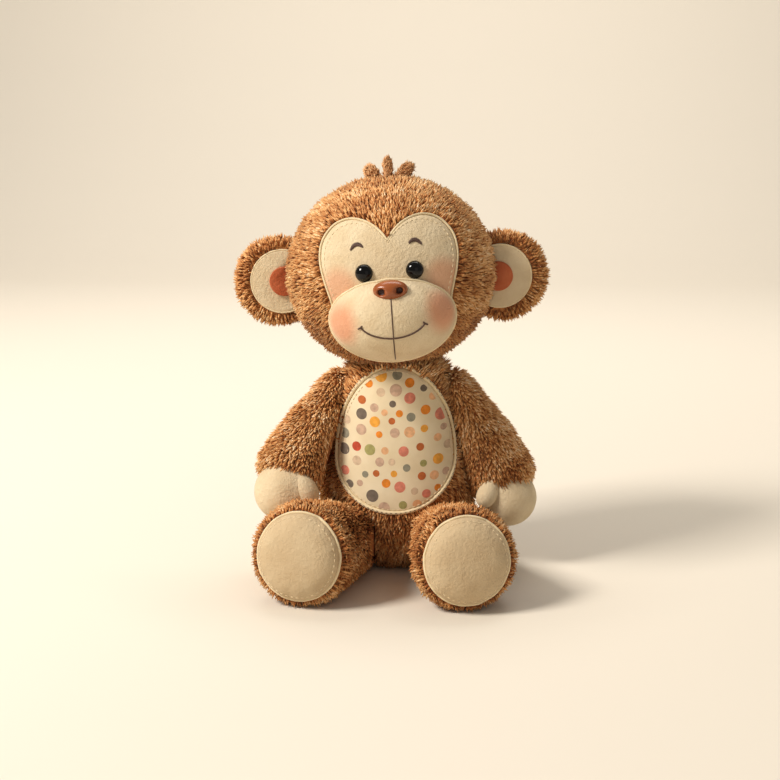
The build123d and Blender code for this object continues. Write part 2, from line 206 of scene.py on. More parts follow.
def add_node(material, kind, **values):
    node = material.node_tree.nodes.new(kind)
    for key, value in values.items():
        if key in node.inputs:
            node.inputs[key].default_value = value
        else:
            setattr(node, key, value)
    return node


def link(material, source, target):
    material.node_tree.links.new(source, target)


def object_place(material):
    return add_node(material, "ShaderNodeTexCoord").outputs["Object"]


def uneven_dye(material, light, dark, scale):
    """Two shades of one dye, mixed by a soft noise."""
    shader = material.node_tree.nodes["Principled BSDF"]
    cloud = add_node(material, "ShaderNodeTexNoise", Scale=scale, Detail=4.0)
    ramp = add_node(material, "ShaderNodeValToRGB")
    ramp.color_ramp.elements[0].position = 0.3
    ramp.color_ramp.elements[0].color = dark
    ramp.color_ramp.elements[1].position = 0.7
    ramp.color_ramp.elements[1].color = light
    link(material, object_place(material), cloud.inputs["Vector"])
    link(material, cloud.outputs["Fac"], ramp.inputs["Fac"])
    link(material, ramp.outputs["Color"], shader.inputs["Base Color"])
    return ramp


def fine_bump(material, scale, height, strength=0.6):
    shader = material.node_tree.nodes["Principled BSDF"]
    grain = add_node(material, "ShaderNodeTexNoise", Scale=scale, Detail=3.0, Roughness=0.7)
    bump = add_node(material, "ShaderNodeBump", Strength=strength, Distance=height)
    link(material, object_place(material), grain.inputs["Vector"])
    link(material, grain.outputs["Fac"], bump.inputs["Height"])
    link(material, bump.outputs["Normal"], shader.inputs["Normal"])


def velour_nap(material):
    """Short pile lies in small patches that were brushed this way and that."""
    fine_bump(material, 420.0, 0.0012, 0.75)


# %% The finishes
PILE_SHADES = [dye(132, 70, 30), dye(168, 102, 50), dye(200, 136, 78), dye(226, 170, 110), dye(244, 200, 148),
               dye(254, 226, 186)]
PILE_SHEEN = dict(Sheen_Weight=0.35, Sheen_Roughness=0.5, Sheen_Tint=dye(255, 214, 160),
                  Specular_IOR_Level=0.25)
pile_dyes = [finish(f"brown pile {i}", shade, 0.75, **PILE_SHEEN) for i, shade in enumerate(PILE_SHADES)]
TAN_SHADES = [dye(140, 84, 42), dye(188, 130, 80), dye(220, 170, 120)]
tan_dyes = [finish(f"tan hair {i}", shade, 0.7, **PILE_SHEEN) for i, shade in enumerate(TAN_SHADES)]

backing = finish("brown backing cloth", PILE_SHADES[1], 0.95)
uneven_dye(backing, PILE_SHADES[2], PILE_SHADES[0], 90.0)
fine_bump(backing, 1500.0, 0.0006)

VELOUR_SHEEN = dict(Sheen_Weight=0.3, Sheen_Roughness=0.4, Sheen_Tint=dye(255, 244, 220),
                    Specular_IOR_Level=0.2)
CREAM, CREAM_SHADE = dye(222, 203, 169), dye(210, 187, 150)
velour = finish("cream velour", CREAM, 0.9, **VELOUR_SHEEN)
uneven_dye(velour, CREAM, CREAM_SHADE, 70.0)
velour_nap(velour)
# Darker velour for the soles than for the hands: painted shade.
sole_velour_painted_shade = finish("sole velour, painted shade", CREAM, 0.9, **VELOUR_SHEEN)
uneven_dye(sole_velour_painted_shade, dye(204, 181, 145), dye(194, 168, 131), 70.0)
velour_nap(sole_velour_painted_shade)

terracotta = finish("terracotta velour", dye(200, 105, 65), 0.9, **VELOUR_SHEEN)
uneven_dye(terracotta, dye(198, 110, 72), dye(176, 86, 50), 70.0)
velour_nap(terracotta)

thread_brown = finish("brown thread", dye(74, 44, 26), 0.55, Sheen_Weight=0.2)
thread_cream = finish("cream thread", dye(226, 205, 165), 0.6, Sheen_Weight=0.3)
piping_cloth = finish("cream piping", dye(228, 208, 168), 0.85, Sheen_Weight=0.2)
eye_gloss = finish("black eye", dye(5, 4, 4), 0.07, Specular_IOR_Level=0.3)
nose_gloss = finish("brown moulded nose", dye(150, 80, 38), 0.25)
# Dark brown for the inside of the nostrils: painted shade.
nostril = finish("nostril", dye(58, 24, 12), 0.5)
for thread in (thread_brown, thread_cream):
    fine_bump(thread, 2200.0, 0.0002, 0.5)
uneven_dye(piping_cloth, dye(232, 212, 173), dye(219, 198, 156), 200.0)
fine_bump(piping_cloth, 1600.0, 0.0003, 0.5)
uneven_dye(nose_gloss, dye(154, 83, 40), dye(143, 75, 35), 60.0)
fine_bump(nose_gloss, 400.0, 0.0002, 0.12)
joint_plastic = finish("white joint plastic", dye(236, 234, 226), 0.45)
fine_bump(joint_plastic, 900.0, 0.0002, 0.2)
print("finishes:", len(bpy.data.materials))

# %% [markdown]
# ## Cloth bodies
#
# A plush skin is cloth sewn into a closed bag and stuffed until it is tight. Its seams can't stretch, so the
# cloth swells a little between them. The way here: take the outer side of the skin from the frame, remesh it
# evenly, hold the seams still, and let Blender's cloth push the rest outwards. The skins are round already
# and much of each is held, so the mean movement is small: half a millimetre or less on the head, body and
# limbs, none to speak of on the muzzle, and nearly a millimetre on the hands. Later steps shape them more.

# %% The outer side of a skin
def outer_cloth(name, node, inside, cell):
    """A closed mesh of the outer side of a CAD skin, whose outer faces turn away from the point inside."""
    obj = frame["nodes"][node].copy()
    obj.data = obj.data.copy()
    obj.name = name
    obj.parent = None
    for key in list(obj.keys()):
        del obj[key]
    obj.data.materials.clear()
    bpy.context.scene.collection.objects.link(obj)
    only(obj)
    bpy.ops.object.mode_set(mode="EDIT")
    bpy.ops.mesh.select_all(action="SELECT")
    bpy.ops.mesh.remove_doubles(threshold=0.00002)
    bpy.ops.mesh.select_all(action="DESELECT")
    bpy.ops.object.mode_set(mode="OBJECT")
    centres, normals = faces_of(obj)
    away = centres - np.array(inside)
    away /= np.linalg.norm(away, axis=1)[:, None]
    inner = (away * normals).sum(axis=1) < 0.12
    obj.data.polygons.foreach_set("select", inner)
    bpy.ops.object.mode_set(mode="EDIT")
    bpy.ops.mesh.select_mode(type="FACE")
    bpy.ops.mesh.delete(type="FACE")
    bpy.ops.mesh.select_mode(type="VERT")
    bpy.ops.mesh.select_all(action="SELECT")
    bpy.ops.mesh.fill_holes(sides=0)
    bpy.ops.mesh.delete_loose()
    bpy.ops.object.mode_set(mode="OBJECT")
    apply_modifier(obj, "REMESH", mode="VOXEL", voxel_size=cell)
    apply_modifier(obj, "SMOOTH", factor=0.5, iterations=4)
    print(f"{name}: {len(obj.data.vertices)} points")
    return obj


# %% Stuffing a set of skins at once
def stuff(skins, cap):
    """skins is a list of (object, held) where held gives 1 for points on a seam and 0 elsewhere."""
    rest = {}
    for obj, held in skins:
        co = points_of(obj)
        rest[obj.name] = co
        group = obj.vertex_groups.new(name="seams")
        weights = held(co)
        for level in np.unique(weights):
            if level > 0:
                group.add(np.nonzero(weights == level)[0].tolist(), float(level), "REPLACE")
        cloth = obj.modifiers.new("Cloth", "CLOTH")
        cloth.settings.quality = 4
        cloth.settings.mass = 0.0005
        cloth.settings.tension_stiffness = 12
        cloth.settings.compression_stiffness = 12
        cloth.settings.bending_stiffness = 0.5
        cloth.settings.use_pressure = True
        cloth.settings.uniform_pressure_force = 500.0
        cloth.settings.vertex_group_mass = group.name
        cloth.settings.effector_weights.gravity = 0.0
        cloth.collision_settings.use_collision = False
    for step in range(1, 21):
        bpy.context.scene.frame_set(step)
    for obj, held in skins:
        only(obj)
        bpy.ops.object.modifier_apply(modifier="Cloth")
        moved = points_of(obj) - rest[obj.name]
        far = np.linalg.norm(moved, axis=1)
        moved *= np.minimum(1.0, cap / np.maximum(far, 1e-9))[:, None]
        set_points(obj, rest[obj.name] + moved)
        print(f"{obj.name}: swelled {far.mean() * 1000:.1f} mm on average, capped at {cap * 1000:.1f}")
        obj.vertex_groups.clear()
    bpy.context.scene.frame_set(1)


def near(values, at, width):
    """1 on a seam line, fading to 0 over its width."""
    return np.round(np.clip(1.5 - np.abs(values - at) / width, 0, 1), 1)


# %% Cut and stuff the skins
INSIDE = {"torso": (0, 0.020, 0.080), "head": HEAD_MIDDLE, "muzzle": HEAD @ Vector((0, -0.060, 0.190))}


def middle_of(node):
    low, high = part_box(node)
    return (Vector(low) + Vector(high)) / 2


head = outer_cloth("head_cloth", "head_skin", INSIDE["head"], 0.004)
torso = outer_cloth("torso_cloth", "torso_skin", INSIDE["torso"], 0.0035)
muzzle = outer_cloth("muzzle_cloth", "muzzle_skin", INSIDE["muzzle"], 0.0024)
sleeves, hands, legs = {}, {}, {}
for name in SIDES:
    sleeves[name] = outer_cloth(f"sleeve_{name}", f"arm_skin_{name}", middle_of(f"arm_skin_{name}"), 0.003)
    hands[name] = outer_cloth(f"hand_cloth_{name}", f"hand_{name}", middle_of(f"hand_{name}"), 0.0022)
    legs[name] = outer_cloth(f"leg_cloth_{name}", f"leg_skin_{name}", middle_of(f"leg_skin_{name}"), 0.0035)


def upright(co):
    return to_frame(co, HEAD.inverted())


def head_seams(co):
    own = upright(co)
    back_seam = near(own[:, 0], 0, 0.002) * (own[:, 1] > -0.02)
    return np.maximum(back_seam, (own[:, 1] < -0.03).astype(float))


def torso_seams(co):
    low = (co[:, 2] < 0.004).astype(float)
    hips = ((co[:, 2] < 0.056) & (co[:, 1] < 0.006) & (np.abs(co[:, 0]) > 0.012)).astype(float)
    return np.maximum.reduce([near(co[:, 0], 0, 0.002), near(co[:, 1], 0, 0.002), low, hips])


def muzzle_seams(co):
    own = upright(co)
    depth = ((own[:, 0] / 0.070) ** 2 + ((own[:, 1] + 0.007) / 0.062) ** 2
             + ((own[:, 2] - 0.2143) / 0.0645) ** 2)
    return np.maximum(near(own[:, 0], 0, 0.0012), (depth < 1.10).astype(float))


def leg_seams(name):
    def held(co):
        inner = (SIDES[name] * co[:, 0] < 0.020).astype(float)
        return np.maximum(inner, (co[:, 2] < 0.006).astype(float))
    return held


SHOULDER_OUT, SHOULDER_HIGH, SHOULDER_SLOPE = 0.0475, 0.1285, math.radians(14.5)


def shoulder_joint(name):
    """The middle of a shoulder, and its axis pointing away from the body."""
    middle = np.array([SIDES[name] * SHOULDER_OUT, 0.0, SHOULDER_HIGH])
    return middle, np.array([SIDES[name] * math.cos(SHOULDER_SLOPE), 0.0, math.sin(SHOULDER_SLOPE)])


def arm_seams(name):
    shoulder, out = shoulder_joint(name)
    def held(co):
        return (((co - shoulder) @ out) < -0.006).astype(float)
    return held


stuff([(head, head_seams), (torso, torso_seams)]
      + [(legs[n], leg_seams(n)) for n in SIDES] + [(sleeves[n], arm_seams(n)) for n in SIDES], 0.002)
stuff([(muzzle, muzzle_seams)] + [(hands[n], arm_seams(n)) for n in SIDES], 0.0022)

# %% Fuller cheeks
def fuller(obj, middle, x, y, z, lift=0.0):
    """Stuffing pushed outwards from the middle, in the head's own directions."""
    own = upright(points_of(obj))
    centre = np.array(upright(np.array([tuple(middle)])))
    set_points(obj, to_frame(centre + (own - centre) * np.array((x, y, z)) + np.array((0, 0, lift)), HEAD))


def gently(values, start, end):
    """0 at start, 1 at end, and smooth between."""
    t = np.clip((values - start) / (end - start), 0, 1)
    return t * t * (3 - 2 * t)


fuller(head, HEAD_MIDDLE, 1.030, 1.0, 1.026, lift=0.0017)
fuller(muzzle, HEAD @ Vector((0, -0.060, 0.1895)), 1.02, 1.06, 1.05)

# %% Chest, arms and feet
co = points_of(torso).copy()
chest = gently(co[:, 2], 0.112, 0.140)
co[:, 2] += (0.0045 + 0.0055 * gently(-co[:, 1], 0.004, 0.022)) * chest
set_points(torso, co)


def swing_out(name):
    """The stuffing settles at the bottom of a sleeve and rounds it outwards."""
    co = points_of(sleeves[name]).copy()
    shoulder, _ = shoulder_joint(name)
    low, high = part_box(f"hand_{name}")
    hand = (np.array(low) + np.array(high)) / 2
    reach = (co - shoulder) @ (hand - shoulder) / ((hand - shoulder) @ (hand - shoulder))
    nearest = shoulder + reach[:, None] * (hand - shoulder)
    outside = gently((co - nearest)[:, 0] * SIDES[name], -0.004, 0.016)
    co[:, 0] += SIDES[name] * 0.0060 * outside * gently(reach, 0.15, 0.85)
    co += np.outer(gently(reach, 0.45, 0.95), (hand - shoulder) / np.linalg.norm(hand - shoulder)) * 0.0045
    high = outside * (1 - gently(reach, -0.15, 0.42))
    co -= high[:, None] * np.array((SIDES[name] * 0.0055, 0, 0.0040))
    set_points(sleeves[name], co)


def turn_foot(name, degrees):
    """Turns the end of a leg about an upright line, so that its sole looks forwards."""
    co = points_of(legs[name]).copy()
    low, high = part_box(f"sole_{name}")
    foot = (np.array(low) + np.array(high)) / 2
    hip = np.array((SIDES[name] * 0.0305, -0.022, 0.022))
    axis = (foot - hip) / np.linalg.norm(foot - hip)
    middle = foot - axis * 0.018
    turn = np.radians(degrees) * gently((co - hip) @ axis, 0.052, 0.088)
    x, y = co[:, 0] - middle[0], co[:, 1] - middle[1]
    co[:, 0] = middle[0] + x * np.cos(turn) - y * np.sin(turn)
    co[:, 1] = middle[1] + x * np.sin(turn) + y * np.cos(turn)
    set_points(legs[name], co)


FOOT_TURN = {"left": -2.0, "right": 10.0}
for name in SIDES:
    swing_out(name)
    turn_foot(name, FOOT_TURN[name])

# %% [markdown]
# ## One tuft, thousands of times
#
# Plush pile is cut loops of fibre that lie in the direction it was brushed. A lock of it is a thin bent
# spike: a three-sided rod drawn to a point. One is modelled, and then copied to evenly spaced sites on the
# cloth, each copy turned to lie along the brushing direction with a little disorder. Its foot takes a darker
# dye than its tip: painted shade, for light reaches the tip first and the foot lies in shade.

# %% Model one tuft
def model_tuft():
    """One lock: a three-sided rod of unit height and width, narrowed and bent as it rises to a point."""
    only_nothing()
    bpy.ops.mesh.primitive_circle_add(vertices=3, radius=0.5, fill_type="NGON")
    tuft = bpy.context.object
    bpy.ops.object.mode_set(mode="EDIT")
    bpy.ops.mesh.extrude_region_move(TRANSFORM_OT_translate={"value": (0.07, 0, 0.55)})
    bpy.ops.transform.resize(value=(0.85, 0.85, 1))
    bpy.ops.mesh.extrude_region_move(TRANSFORM_OT_translate={"value": (0.18, 0, 0.45)})
    bpy.ops.mesh.merge(type="CENTER")
    bpy.ops.mesh.select_all(action="SELECT")
    bpy.ops.mesh.quads_convert_to_tris()
    bpy.ops.mesh.normals_make_consistent(inside=False)
    bpy.ops.object.mode_set(mode="OBJECT")
    return take_shape(tuft)


def take_shape(obj):
    """The points and triangles of a small modelled shape, which is then put away."""
    points = points_of(obj).copy()
    faces = np.array([p.vertices[:] for p in obj.data.polygons])
    bpy.data.objects.remove(obj)
    return points, faces


TUFT, TUFT_FACES = model_tuft()
TUFT_TIP = (TUFT[TUFT_FACES][:, :, 2].max(axis=1) > 0.9).astype(int)
print("tuft:", len(TUFT), "points,", len(TUFT_FACES), "triangles")


# %% Copies of a small shape
def copies(name, shape, centres, axes, sizes):
    """One mesh of many copies. axes holds each copy's own x, y and z directions, sizes its three sizes."""
    points, faces = shape
    count, total = len(centres), len(centres) * len(faces)
    verts = np.einsum("nvk,nkd->nvd", points[None] * sizes[:, None, :], axes) + centres[:, None, :]
    loops = faces[None] + (np.arange(count) * len(points))[:, None, None]
    mesh = bpy.data.meshes.new(name)
    mesh.vertices.add(count * len(points))
    mesh.vertices.foreach_set("co", verts.astype(np.float32).ravel())
    mesh.loops.add(total * 3)
    mesh.loops.foreach_set("vertex_index", loops.astype(np.int32).ravel())
    mesh.polygons.add(total)
    mesh.polygons.foreach_set("loop_start", np.arange(total, dtype=np.int32) * 3)
    mesh.update()
    obj = bpy.data.objects.new(name, mesh)
    bpy.context.scene.collection.objects.link(obj)
    smooth_shaded(obj)
    return obj


# %% Plant a coat of tufts
def even_sites(obj, cell):
    """Evenly spaced points on a cloth body, with the cloth's normals there."""
    copy = obj.copy()
    copy.data = obj.data.copy()
    bpy.context.scene.collection.objects.link(copy)
    apply_modifier(copy, "REMESH", mode="VOXEL", voxel_size=cell)
    centres, normals = faces_of(copy)
    bpy.data.objects.remove(copy)
    return centres, normals


def clump(points, size, seed):
    return np.array([noise.noise(Vector(p) / size + Vector((seed, seed * 0.7, seed * 0.3))) for p in points])


FLOOR_GAP = 0.0002                                         # no tuft goes lower than this
ROOT_DEPTH = 0.0006                                        # how far a tuft's foot lies in the cloth


def plant(name, sites, normals, brushing, length, width, lift, dyes, seed, stand=0.0, bias=0.0):
    """A coat: one tuft at each site, lying along brushing, standing up by lift degrees."""
    rng = np.random.default_rng(seed)
    count = len(sites)
    along = brushing - (brushing * normals).sum(axis=1)[:, None] * normals
    along += rng.normal(0, 0.22, (count, 3)) * np.linalg.norm(along, axis=1)[:, None]
    along -= (along * normals).sum(axis=1)[:, None] * normals
    along /= np.maximum(np.linalg.norm(along, axis=1), 1e-9)[:, None]
    rise = np.radians(lift + stand + rng.normal(0, 6, count) + 12 * clump(sites, 0.009, seed))
    up = normals * np.sin(rise)[:, None] + along * np.cos(rise)[:, None]
    front = along * np.sin(rise)[:, None] - normals * np.cos(rise)[:, None]
    front = -front
    side = np.cross(up, front)
    tall = length * rng.uniform(0.75, 1.2, count) * (1 + 0.012 * stand)
    wide = width * rng.uniform(0.75, 1.25, count)
    sizes = np.stack([wide * 0.75, wide, tall], axis=1)
    axes = np.stack([front, side, up], axis=1)
    obj = copies(name, (TUFT, TUFT_FACES), sites - normals * ROOT_DEPTH, axes, sizes)
    co = points_of(obj)
    co[:, 2] = np.maximum(co[:, 2], FLOOR_GAP)
    set_points(obj, co)
    for material in dyes:
        obj.data.materials.append(material)
    shades = len(dyes)
    level = 0.46 + bias + 0.30 * clump(sites, 0.016, seed + 3) + 0.22 * clump(sites, 0.005, seed + 5)
    level = level + rng.normal(0, 0.09, count)
    # The foot of each tuft takes a darker dye than its tip: painted shade.
    foot = np.clip((level * shades - 0.9), 0, shades - 1).astype(int)
    tip = np.clip((level * shades + 0.4), 0, shades - 1).astype(int)
    index = np.where(TUFT_TIP[None] == 1, tip[:, None], foot[:, None])
    obj.data.polygons.foreach_set("material_index", index.astype(np.int32).ravel())
    obj.data.update()
    print(f"{name}: {count} tufts")
    return obj


COAT_CELL = 0.00175
COAT = dict(length=0.0064, width=0.0019, lift=32)


def round_the_neck(points):
    """The pile stands up where the head meets the body, and closes the gap between them."""
    close = np.clip(1.3 - np.abs(points[:, 2] - 0.1465) / 0.010, 0, 1)
    return 42 * close * (np.hypot(points[:, 0], points[:, 1]) < 0.034)


def painted_shade_under_head(points):
    """Painted shade: darker pile below the cheeks, which gives more depth there than the lamps do."""
    return -0.24 * gently(0.205 - upright(points)[:, 2], 0.0, 0.035)


def coat(name, cloth, brushing, seed, keep=None, dyes=pile_dyes, shading=None, **changes):
    """Plant a coat on a cloth body. brushing(points, normals) gives the way it lies, keep masks the sites,
    and shading makes the dye lighter or darker from place to place: painted light and shade."""
    sites, normals = even_sites(cloth, COAT_CELL)
    if keep is not None:
        chosen = keep(sites, normals)
        sites, normals = sites[chosen], normals[chosen]
    rng = np.random.default_rng(seed)
    sites = sites + rng.uniform(-0.5, 0.5, sites.shape) * COAT_CELL * 0.8
    shape = dict(COAT, **changes)
    if shading is not None:
        shape["bias"] = shading(sites)
    return plant(name, sites, normals, brushing(sites, normals), dyes=dyes, seed=seed,
                 stand=round_the_neck(sites), **shape)


# %% [markdown]
# ## The coat of each piece
#
# The pile is brushed the way a hand would stroke the toy: down the body and the arms, along each leg to the
# foot, and on the head outwards from the face. Cloth under a patch gets no pile, so the patches lie flat.

# %% Which way each piece is brushed
PATCH_WIDE, PATCH_LOW, PATCH_HIGH, PATCH_MIDDLE = 0.0420, 0.0355, 0.0662, 0.084


def sole_frame(name):
    """The sole's middle, the direction it faces, and its across and up directions."""
    low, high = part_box(f"sole_{name}")
    foot = (np.array(low) + np.array(high)) / 2
    out = foot - np.array((SIDES[name] * 0.0305, -0.022, 0.022))
    out /= np.linalg.norm(out)
    centre = foot - out * 0.018
    out = np.array(Matrix.Rotation(math.radians(FOOT_TURN[name]), 3, "Z") @ Vector(out))
    middle = centre + out * 0.018
    across = np.cross(out, (0, 0, 1))
    across /= np.linalg.norm(across)
    return middle, out, across, np.cross(across, out)


def down(points, normals):
    """Down the body, and away from the tummy patch close to its edge."""
    reach = np.where(points[:, 2] > PATCH_MIDDLE, PATCH_HIGH, PATCH_LOW)
    x, z = points[:, 0] / PATCH_WIDE, (points[:, 2] - PATCH_MIDDLE) / reach
    close = (1 - gently(np.hypot(x, z), 1.04, 1.22)) * (points[:, 1] < 0)
    away = np.stack([x, np.zeros(len(x)), z], axis=1) * 3.0
    return np.array((0.0, -0.15, -1.0)) * (1 - close)[:, None] + away * close[:, None]


def arm_axis(name):
    side = SIDES[name]
    low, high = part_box(f"hand_{name}")
    hand = (np.array(low) + np.array(high)) / 2
    return hand - np.array((side * 0.0475, 0.0, 0.1285))


def down_the_arm(name):
    def brushing(points, normals):
        return np.tile(arm_axis(name), (len(points), 1))
    return brushing


def along_the_leg(name):
    """To the foot, and outwards round the sole."""
    def brushing(points, normals):
        middle, out, across, up = sole_frame(name)
        x, z = (points - middle) @ across, (points - middle) @ up
        away = (x[:, None] * across + z[:, None] * up) / 0.03
        close = gently((points - middle) @ out, -0.016, -0.004)
        return (out + np.array((0, 0, -0.3))) * (1 - close)[:, None] + away * close[:, None]
    return brushing


def from_the_face(points, normals):
    own = upright(points)
    away = own - np.array((0.0, -0.075, 0.212))
    away[:, 1] *= 0.3
    away += np.array((0, 0.0, -0.012))
    return to_frame(away, HEAD.to_3x3().to_4x4())


# %% Where each piece has no pile


def in_tummy_patch(points, grow=0.0):
    reach = np.where(points[:, 2] > PATCH_MIDDLE, PATCH_HIGH, PATCH_LOW) + grow
    inside = (points[:, 0] / (PATCH_WIDE + grow)) ** 2 + ((points[:, 2] - PATCH_MIDDLE) / reach) ** 2 < 1
    return inside & (points[:, 1] < 0)


# Half of the face patch's outline in millimetres, from the notch round to the chin: x and z, head upright.
FACE_OUTLINE = [(0.0, 242.5), (2.8, 246.8), (8.0, 252.0), (15.0, 256.0), (23.5, 257.8), (32.0, 256.0),
                (39.0, 251.0), (44.4, 243.0), (46.3, 233.0), (45.4, 223.0), (43.0, 213.0), (40.6, 204.0),
                (39.0, 192.0), (36.0, 180.0), (26.0, 168.5), (12.0, 164.0), (0.0, 163.0)]
FACE_HEART = 0.213


def bent_line(values, at):
    """A smooth line through evenly numbered values, read at fractional numbers."""
    values = np.asarray(values)
    k = np.clip(np.floor(at).astype(int), 0, len(values) - 2)
    t = at - k
    p0, p1, p2, p3 = (values[np.clip(k + d, 0, len(values) - 1)] for d in (-1, 0, 1, 2))
    return 0.5 * (2 * p1 + (p2 - p0) * t + (2 * p0 - 5 * p1 + 4 * p2 - p3) * t ** 2
                  + (3 * p1 - p0 - 3 * p2 + p3) * t ** 3)


def face_reach():
    """How far the outline lies from the heart's middle, by the angle from straight up."""
    at = np.linspace(0, len(FACE_OUTLINE) - 1, 400)
    x = bent_line([p[0] for p in FACE_OUTLINE], at) * MM
    z = bent_line([p[1] for p in FACE_OUTLINE], at) * MM - FACE_HEART
    return np.arctan2(x, z), np.hypot(x, z)


FACE_ANGLES, FACE_REACH = face_reach()


def in_face(points, grow=0.0):
    """Inside the face patch, for points in the head's own frame."""
    x, z = np.abs(points[:, 0]), points[:, 2] - FACE_HEART
    reach = np.interp(np.arctan2(x, z), FACE_ANGLES, FACE_REACH)
    return (np.hypot(x, z) < reach + grow) & (points[:, 1] < -0.02)


def head_pile(sites, normals):
    own = upright(sites)
    ear = to_frame(sites, EARS.inverted())
    joined = ((np.hypot(np.abs(ear[:, 0]) - 0.0818, ear[:, 2] - 0.211) < 0.026)
              & (np.abs(ear[:, 1] - 0.004) < 0.0045))
    under = (own[:, 2] < 0.152) & (np.hypot(own[:, 0], own[:, 1]) < 0.007)
    return ~in_face(own, -0.0004) & ~joined & ~under


def torso_pile(sites, normals):
    legs = ((sites[:, 2] < 0.050) & (sites[:, 1] < -0.002) & (np.abs(sites[:, 0]) > 0.013)
            & (np.abs(normals[:, 0]) > 0.6) & (np.hypot(np.abs(sites[:, 0]) - 0.014, 0) < 0.006))
    under = (sites[:, 2] < 0.0035)
    neck = (sites[:, 2] > 0.139) & (np.hypot(sites[:, 0], sites[:, 1]) < 0.007)
    return ~in_tummy_patch(sites, -0.001) & ~legs & ~under & ~neck


def arm_pile(name):
    shoulder, out = shoulder_joint(name)
    def keep(sites, normals):
        return ((sites - shoulder) @ out) > -0.0085
    return keep


def leg_pile(name):
    middle, out, across, up = sole_frame(name)
    def keep(sites, normals):
        x, z = (sites - middle) @ across / 0.0288, (sites - middle) @ up / 0.0286
        under_sole = (np.hypot(x, z) < 1) & ((sites - middle) @ out > -0.012)
        return (sites[:, 2] > 0.004) & (SIDES[name] * sites[:, 0] > 0.0165) & ~under_sole
    return keep


coats = {
    "head": coat("head_pile", head, from_the_face, 11, head_pile, shading=painted_shade_under_head),
    "torso": coat("torso_pile", torso, down, 12, torso_pile),
}
for i, name in enumerate(SIDES):
    # The arm pile is dyed lighter (bias 0.08): painted light; the leg pile darker (bias -0.06): painted
    # shade.
    coats[f"arm_{name}"] = coat(f"arm_pile_{name}", sleeves[name], down_the_arm(name), 20 + i, arm_pile(name),
                                bias=0.08)
    coats[f"leg_{name}"] = coat(f"leg_pile_{name}", legs[name], along_the_leg(name), 30 + i, leg_pile(name),
                                bias=-0.06)
for part, obj in coats.items():
    done(obj, part, "brown_plush")

# %% The cloth under the coats
def finish_body(obj, body, slot, material, fill, *nodes):
    apply_modifier(obj, "SUBSURF", levels=1, render_levels=1)
    obj.data.materials.append(material)
    smooth_shaded(obj)
    done(obj, body, slot, *nodes)


finish_body(head, "head", "brown_plush", backing, 0.9, "head_skin", "head_stuffing")
finish_body(torso, "torso", "brown_plush", backing, 0.85, "torso_skin", "torso_stuffing")
for name in SIDES:
    finish_body(sleeves[name], f"arm_{name}", "brown_plush", backing, 0.8,
                f"arm_skin_{name}", f"arm_stuffing_{name}")
    finish_body(legs[name], f"leg_{name}", "brown_plush", backing, 0.85,
                f"leg_skin_{name}", f"leg_stuffing_{name}")

# %% [markdown]
# ## Muzzle and hands
#
# The muzzle and the hands are cut from short cream velour. The muzzle has a blush of warm colour on each
# cheek, airbrushed on the real cloth. In the shader a blush is a mix driven by the distance from the middle
# of the cheek, which stays in place on the piece because it is measured in the piece's own coordinates.

# %% Blushed velour
blushed = finish("blushed velour", CREAM, 0.9, **VELOUR_SHEEN)
blush_ramp = uneven_dye(blushed, CREAM, CREAM_SHADE, 70.0)
velour_nap(blushed)


def add_blush(material, base, spot, radius, strength):
    shader = material.node_tree.nodes["Principled BSDF"]
    far = add_node(material, "ShaderNodeVectorMath", operation="DISTANCE")
    far.inputs[1].default_value = spot
    soft = add_node(material, "ShaderNodeMapRange", interpolation_type="SMOOTHSTEP")
    reach = {"From Min": radius, "From Max": radius * 0.35, "To Min": 0.0, "To Max": strength}
    for key, value in reach.items():
        soft.inputs[key].default_value = value
    mix = add_node(material, "ShaderNodeMix", data_type="RGBA")
    mix.inputs[7].default_value = dye(214, 122, 84)
    link(material, object_place(material), far.inputs[0])
    link(material, far.outputs["Value"], soft.inputs["Value"])
    link(material, soft.outputs["Result"], mix.inputs[0])
    link(material, base, mix.inputs[6])
    link(material, mix.outputs[2], shader.inputs["Base Color"])
    return mix.outputs[2]


CHEEKS = {"right": (-0.0350, -0.074, 0.1895), "left": (0.0345, -0.075, 0.1945)}
colour = blush_ramp.outputs["Color"]
for name, place in CHEEKS.items():
    colour = add_blush(blushed, colour, HEAD @ Vector(place), 0.0200, 0.62)

# %% Thumbs
THUMBS = {"right": ((-0.0634, -0.0515, 0.0655), (0.52, -0.10, -0.85), 1.14),
          "left": ((0.0672, -0.0290, 0.0585), (-0.42, -0.25, -0.87), 0.96)}


def make_thumb(name):
    """A short mitten thumb: a ball drawn out, thinner where it leaves the hand, against the hand's side."""
    place, way, size = THUMBS[name]
    only_nothing()
    bpy.ops.mesh.primitive_uv_sphere_add(segments=40, ring_count=28, radius=1.0)
    thumb = bpy.context.object
    thumb.name = f"thumb_{name}"
    co = points_of(thumb) * np.array((0.0074, 0.0078, 0.0118))
    co[:, :2] *= (1.0 + 10.0 * co[:, 2:3])
    co *= size
    turn = Vector(way).to_track_quat("Z", "Y").to_matrix().to_4x4()
    set_points(thumb, to_frame(co, Matrix.Translation(place) @ turn))
    return thumb


for name in SIDES:
    thumb = make_thumb(name)
    thumb.data.materials.append(velour)
    smooth_shaded(thumb)
    done(thumb, f"arm_{name}", "cream_plush")

# %% Muzzle and hands
finish_body(muzzle, "head", "cream_plush", blushed, 0.9, "muzzle_skin", "muzzle_stuffing")
for name in SIDES:
    finish_body(hands[name], f"arm_{name}", "cream_plush", velour, 0.85, f"hand_{name}")

# %% [markdown]
# ## Patches
#
# The face, tummy, ear linings, soles and the panel underneath are flat pieces of cloth stretched over stuffed
# ones and sewn down round the edge. All but the panel are drawn as an outline with rings inside it, dropped
# on the cloth below, and raised by their own thickness. The edge dips where its stitches pull it down.

# %% Rings of an outline dropped on a surface
RINGS = (1.0, 0.99, 0.975, 0.955, 0.92, 0.87, 0.8, 0.7, 0.58, 0.45, 0.32, 0.2, 0.09)


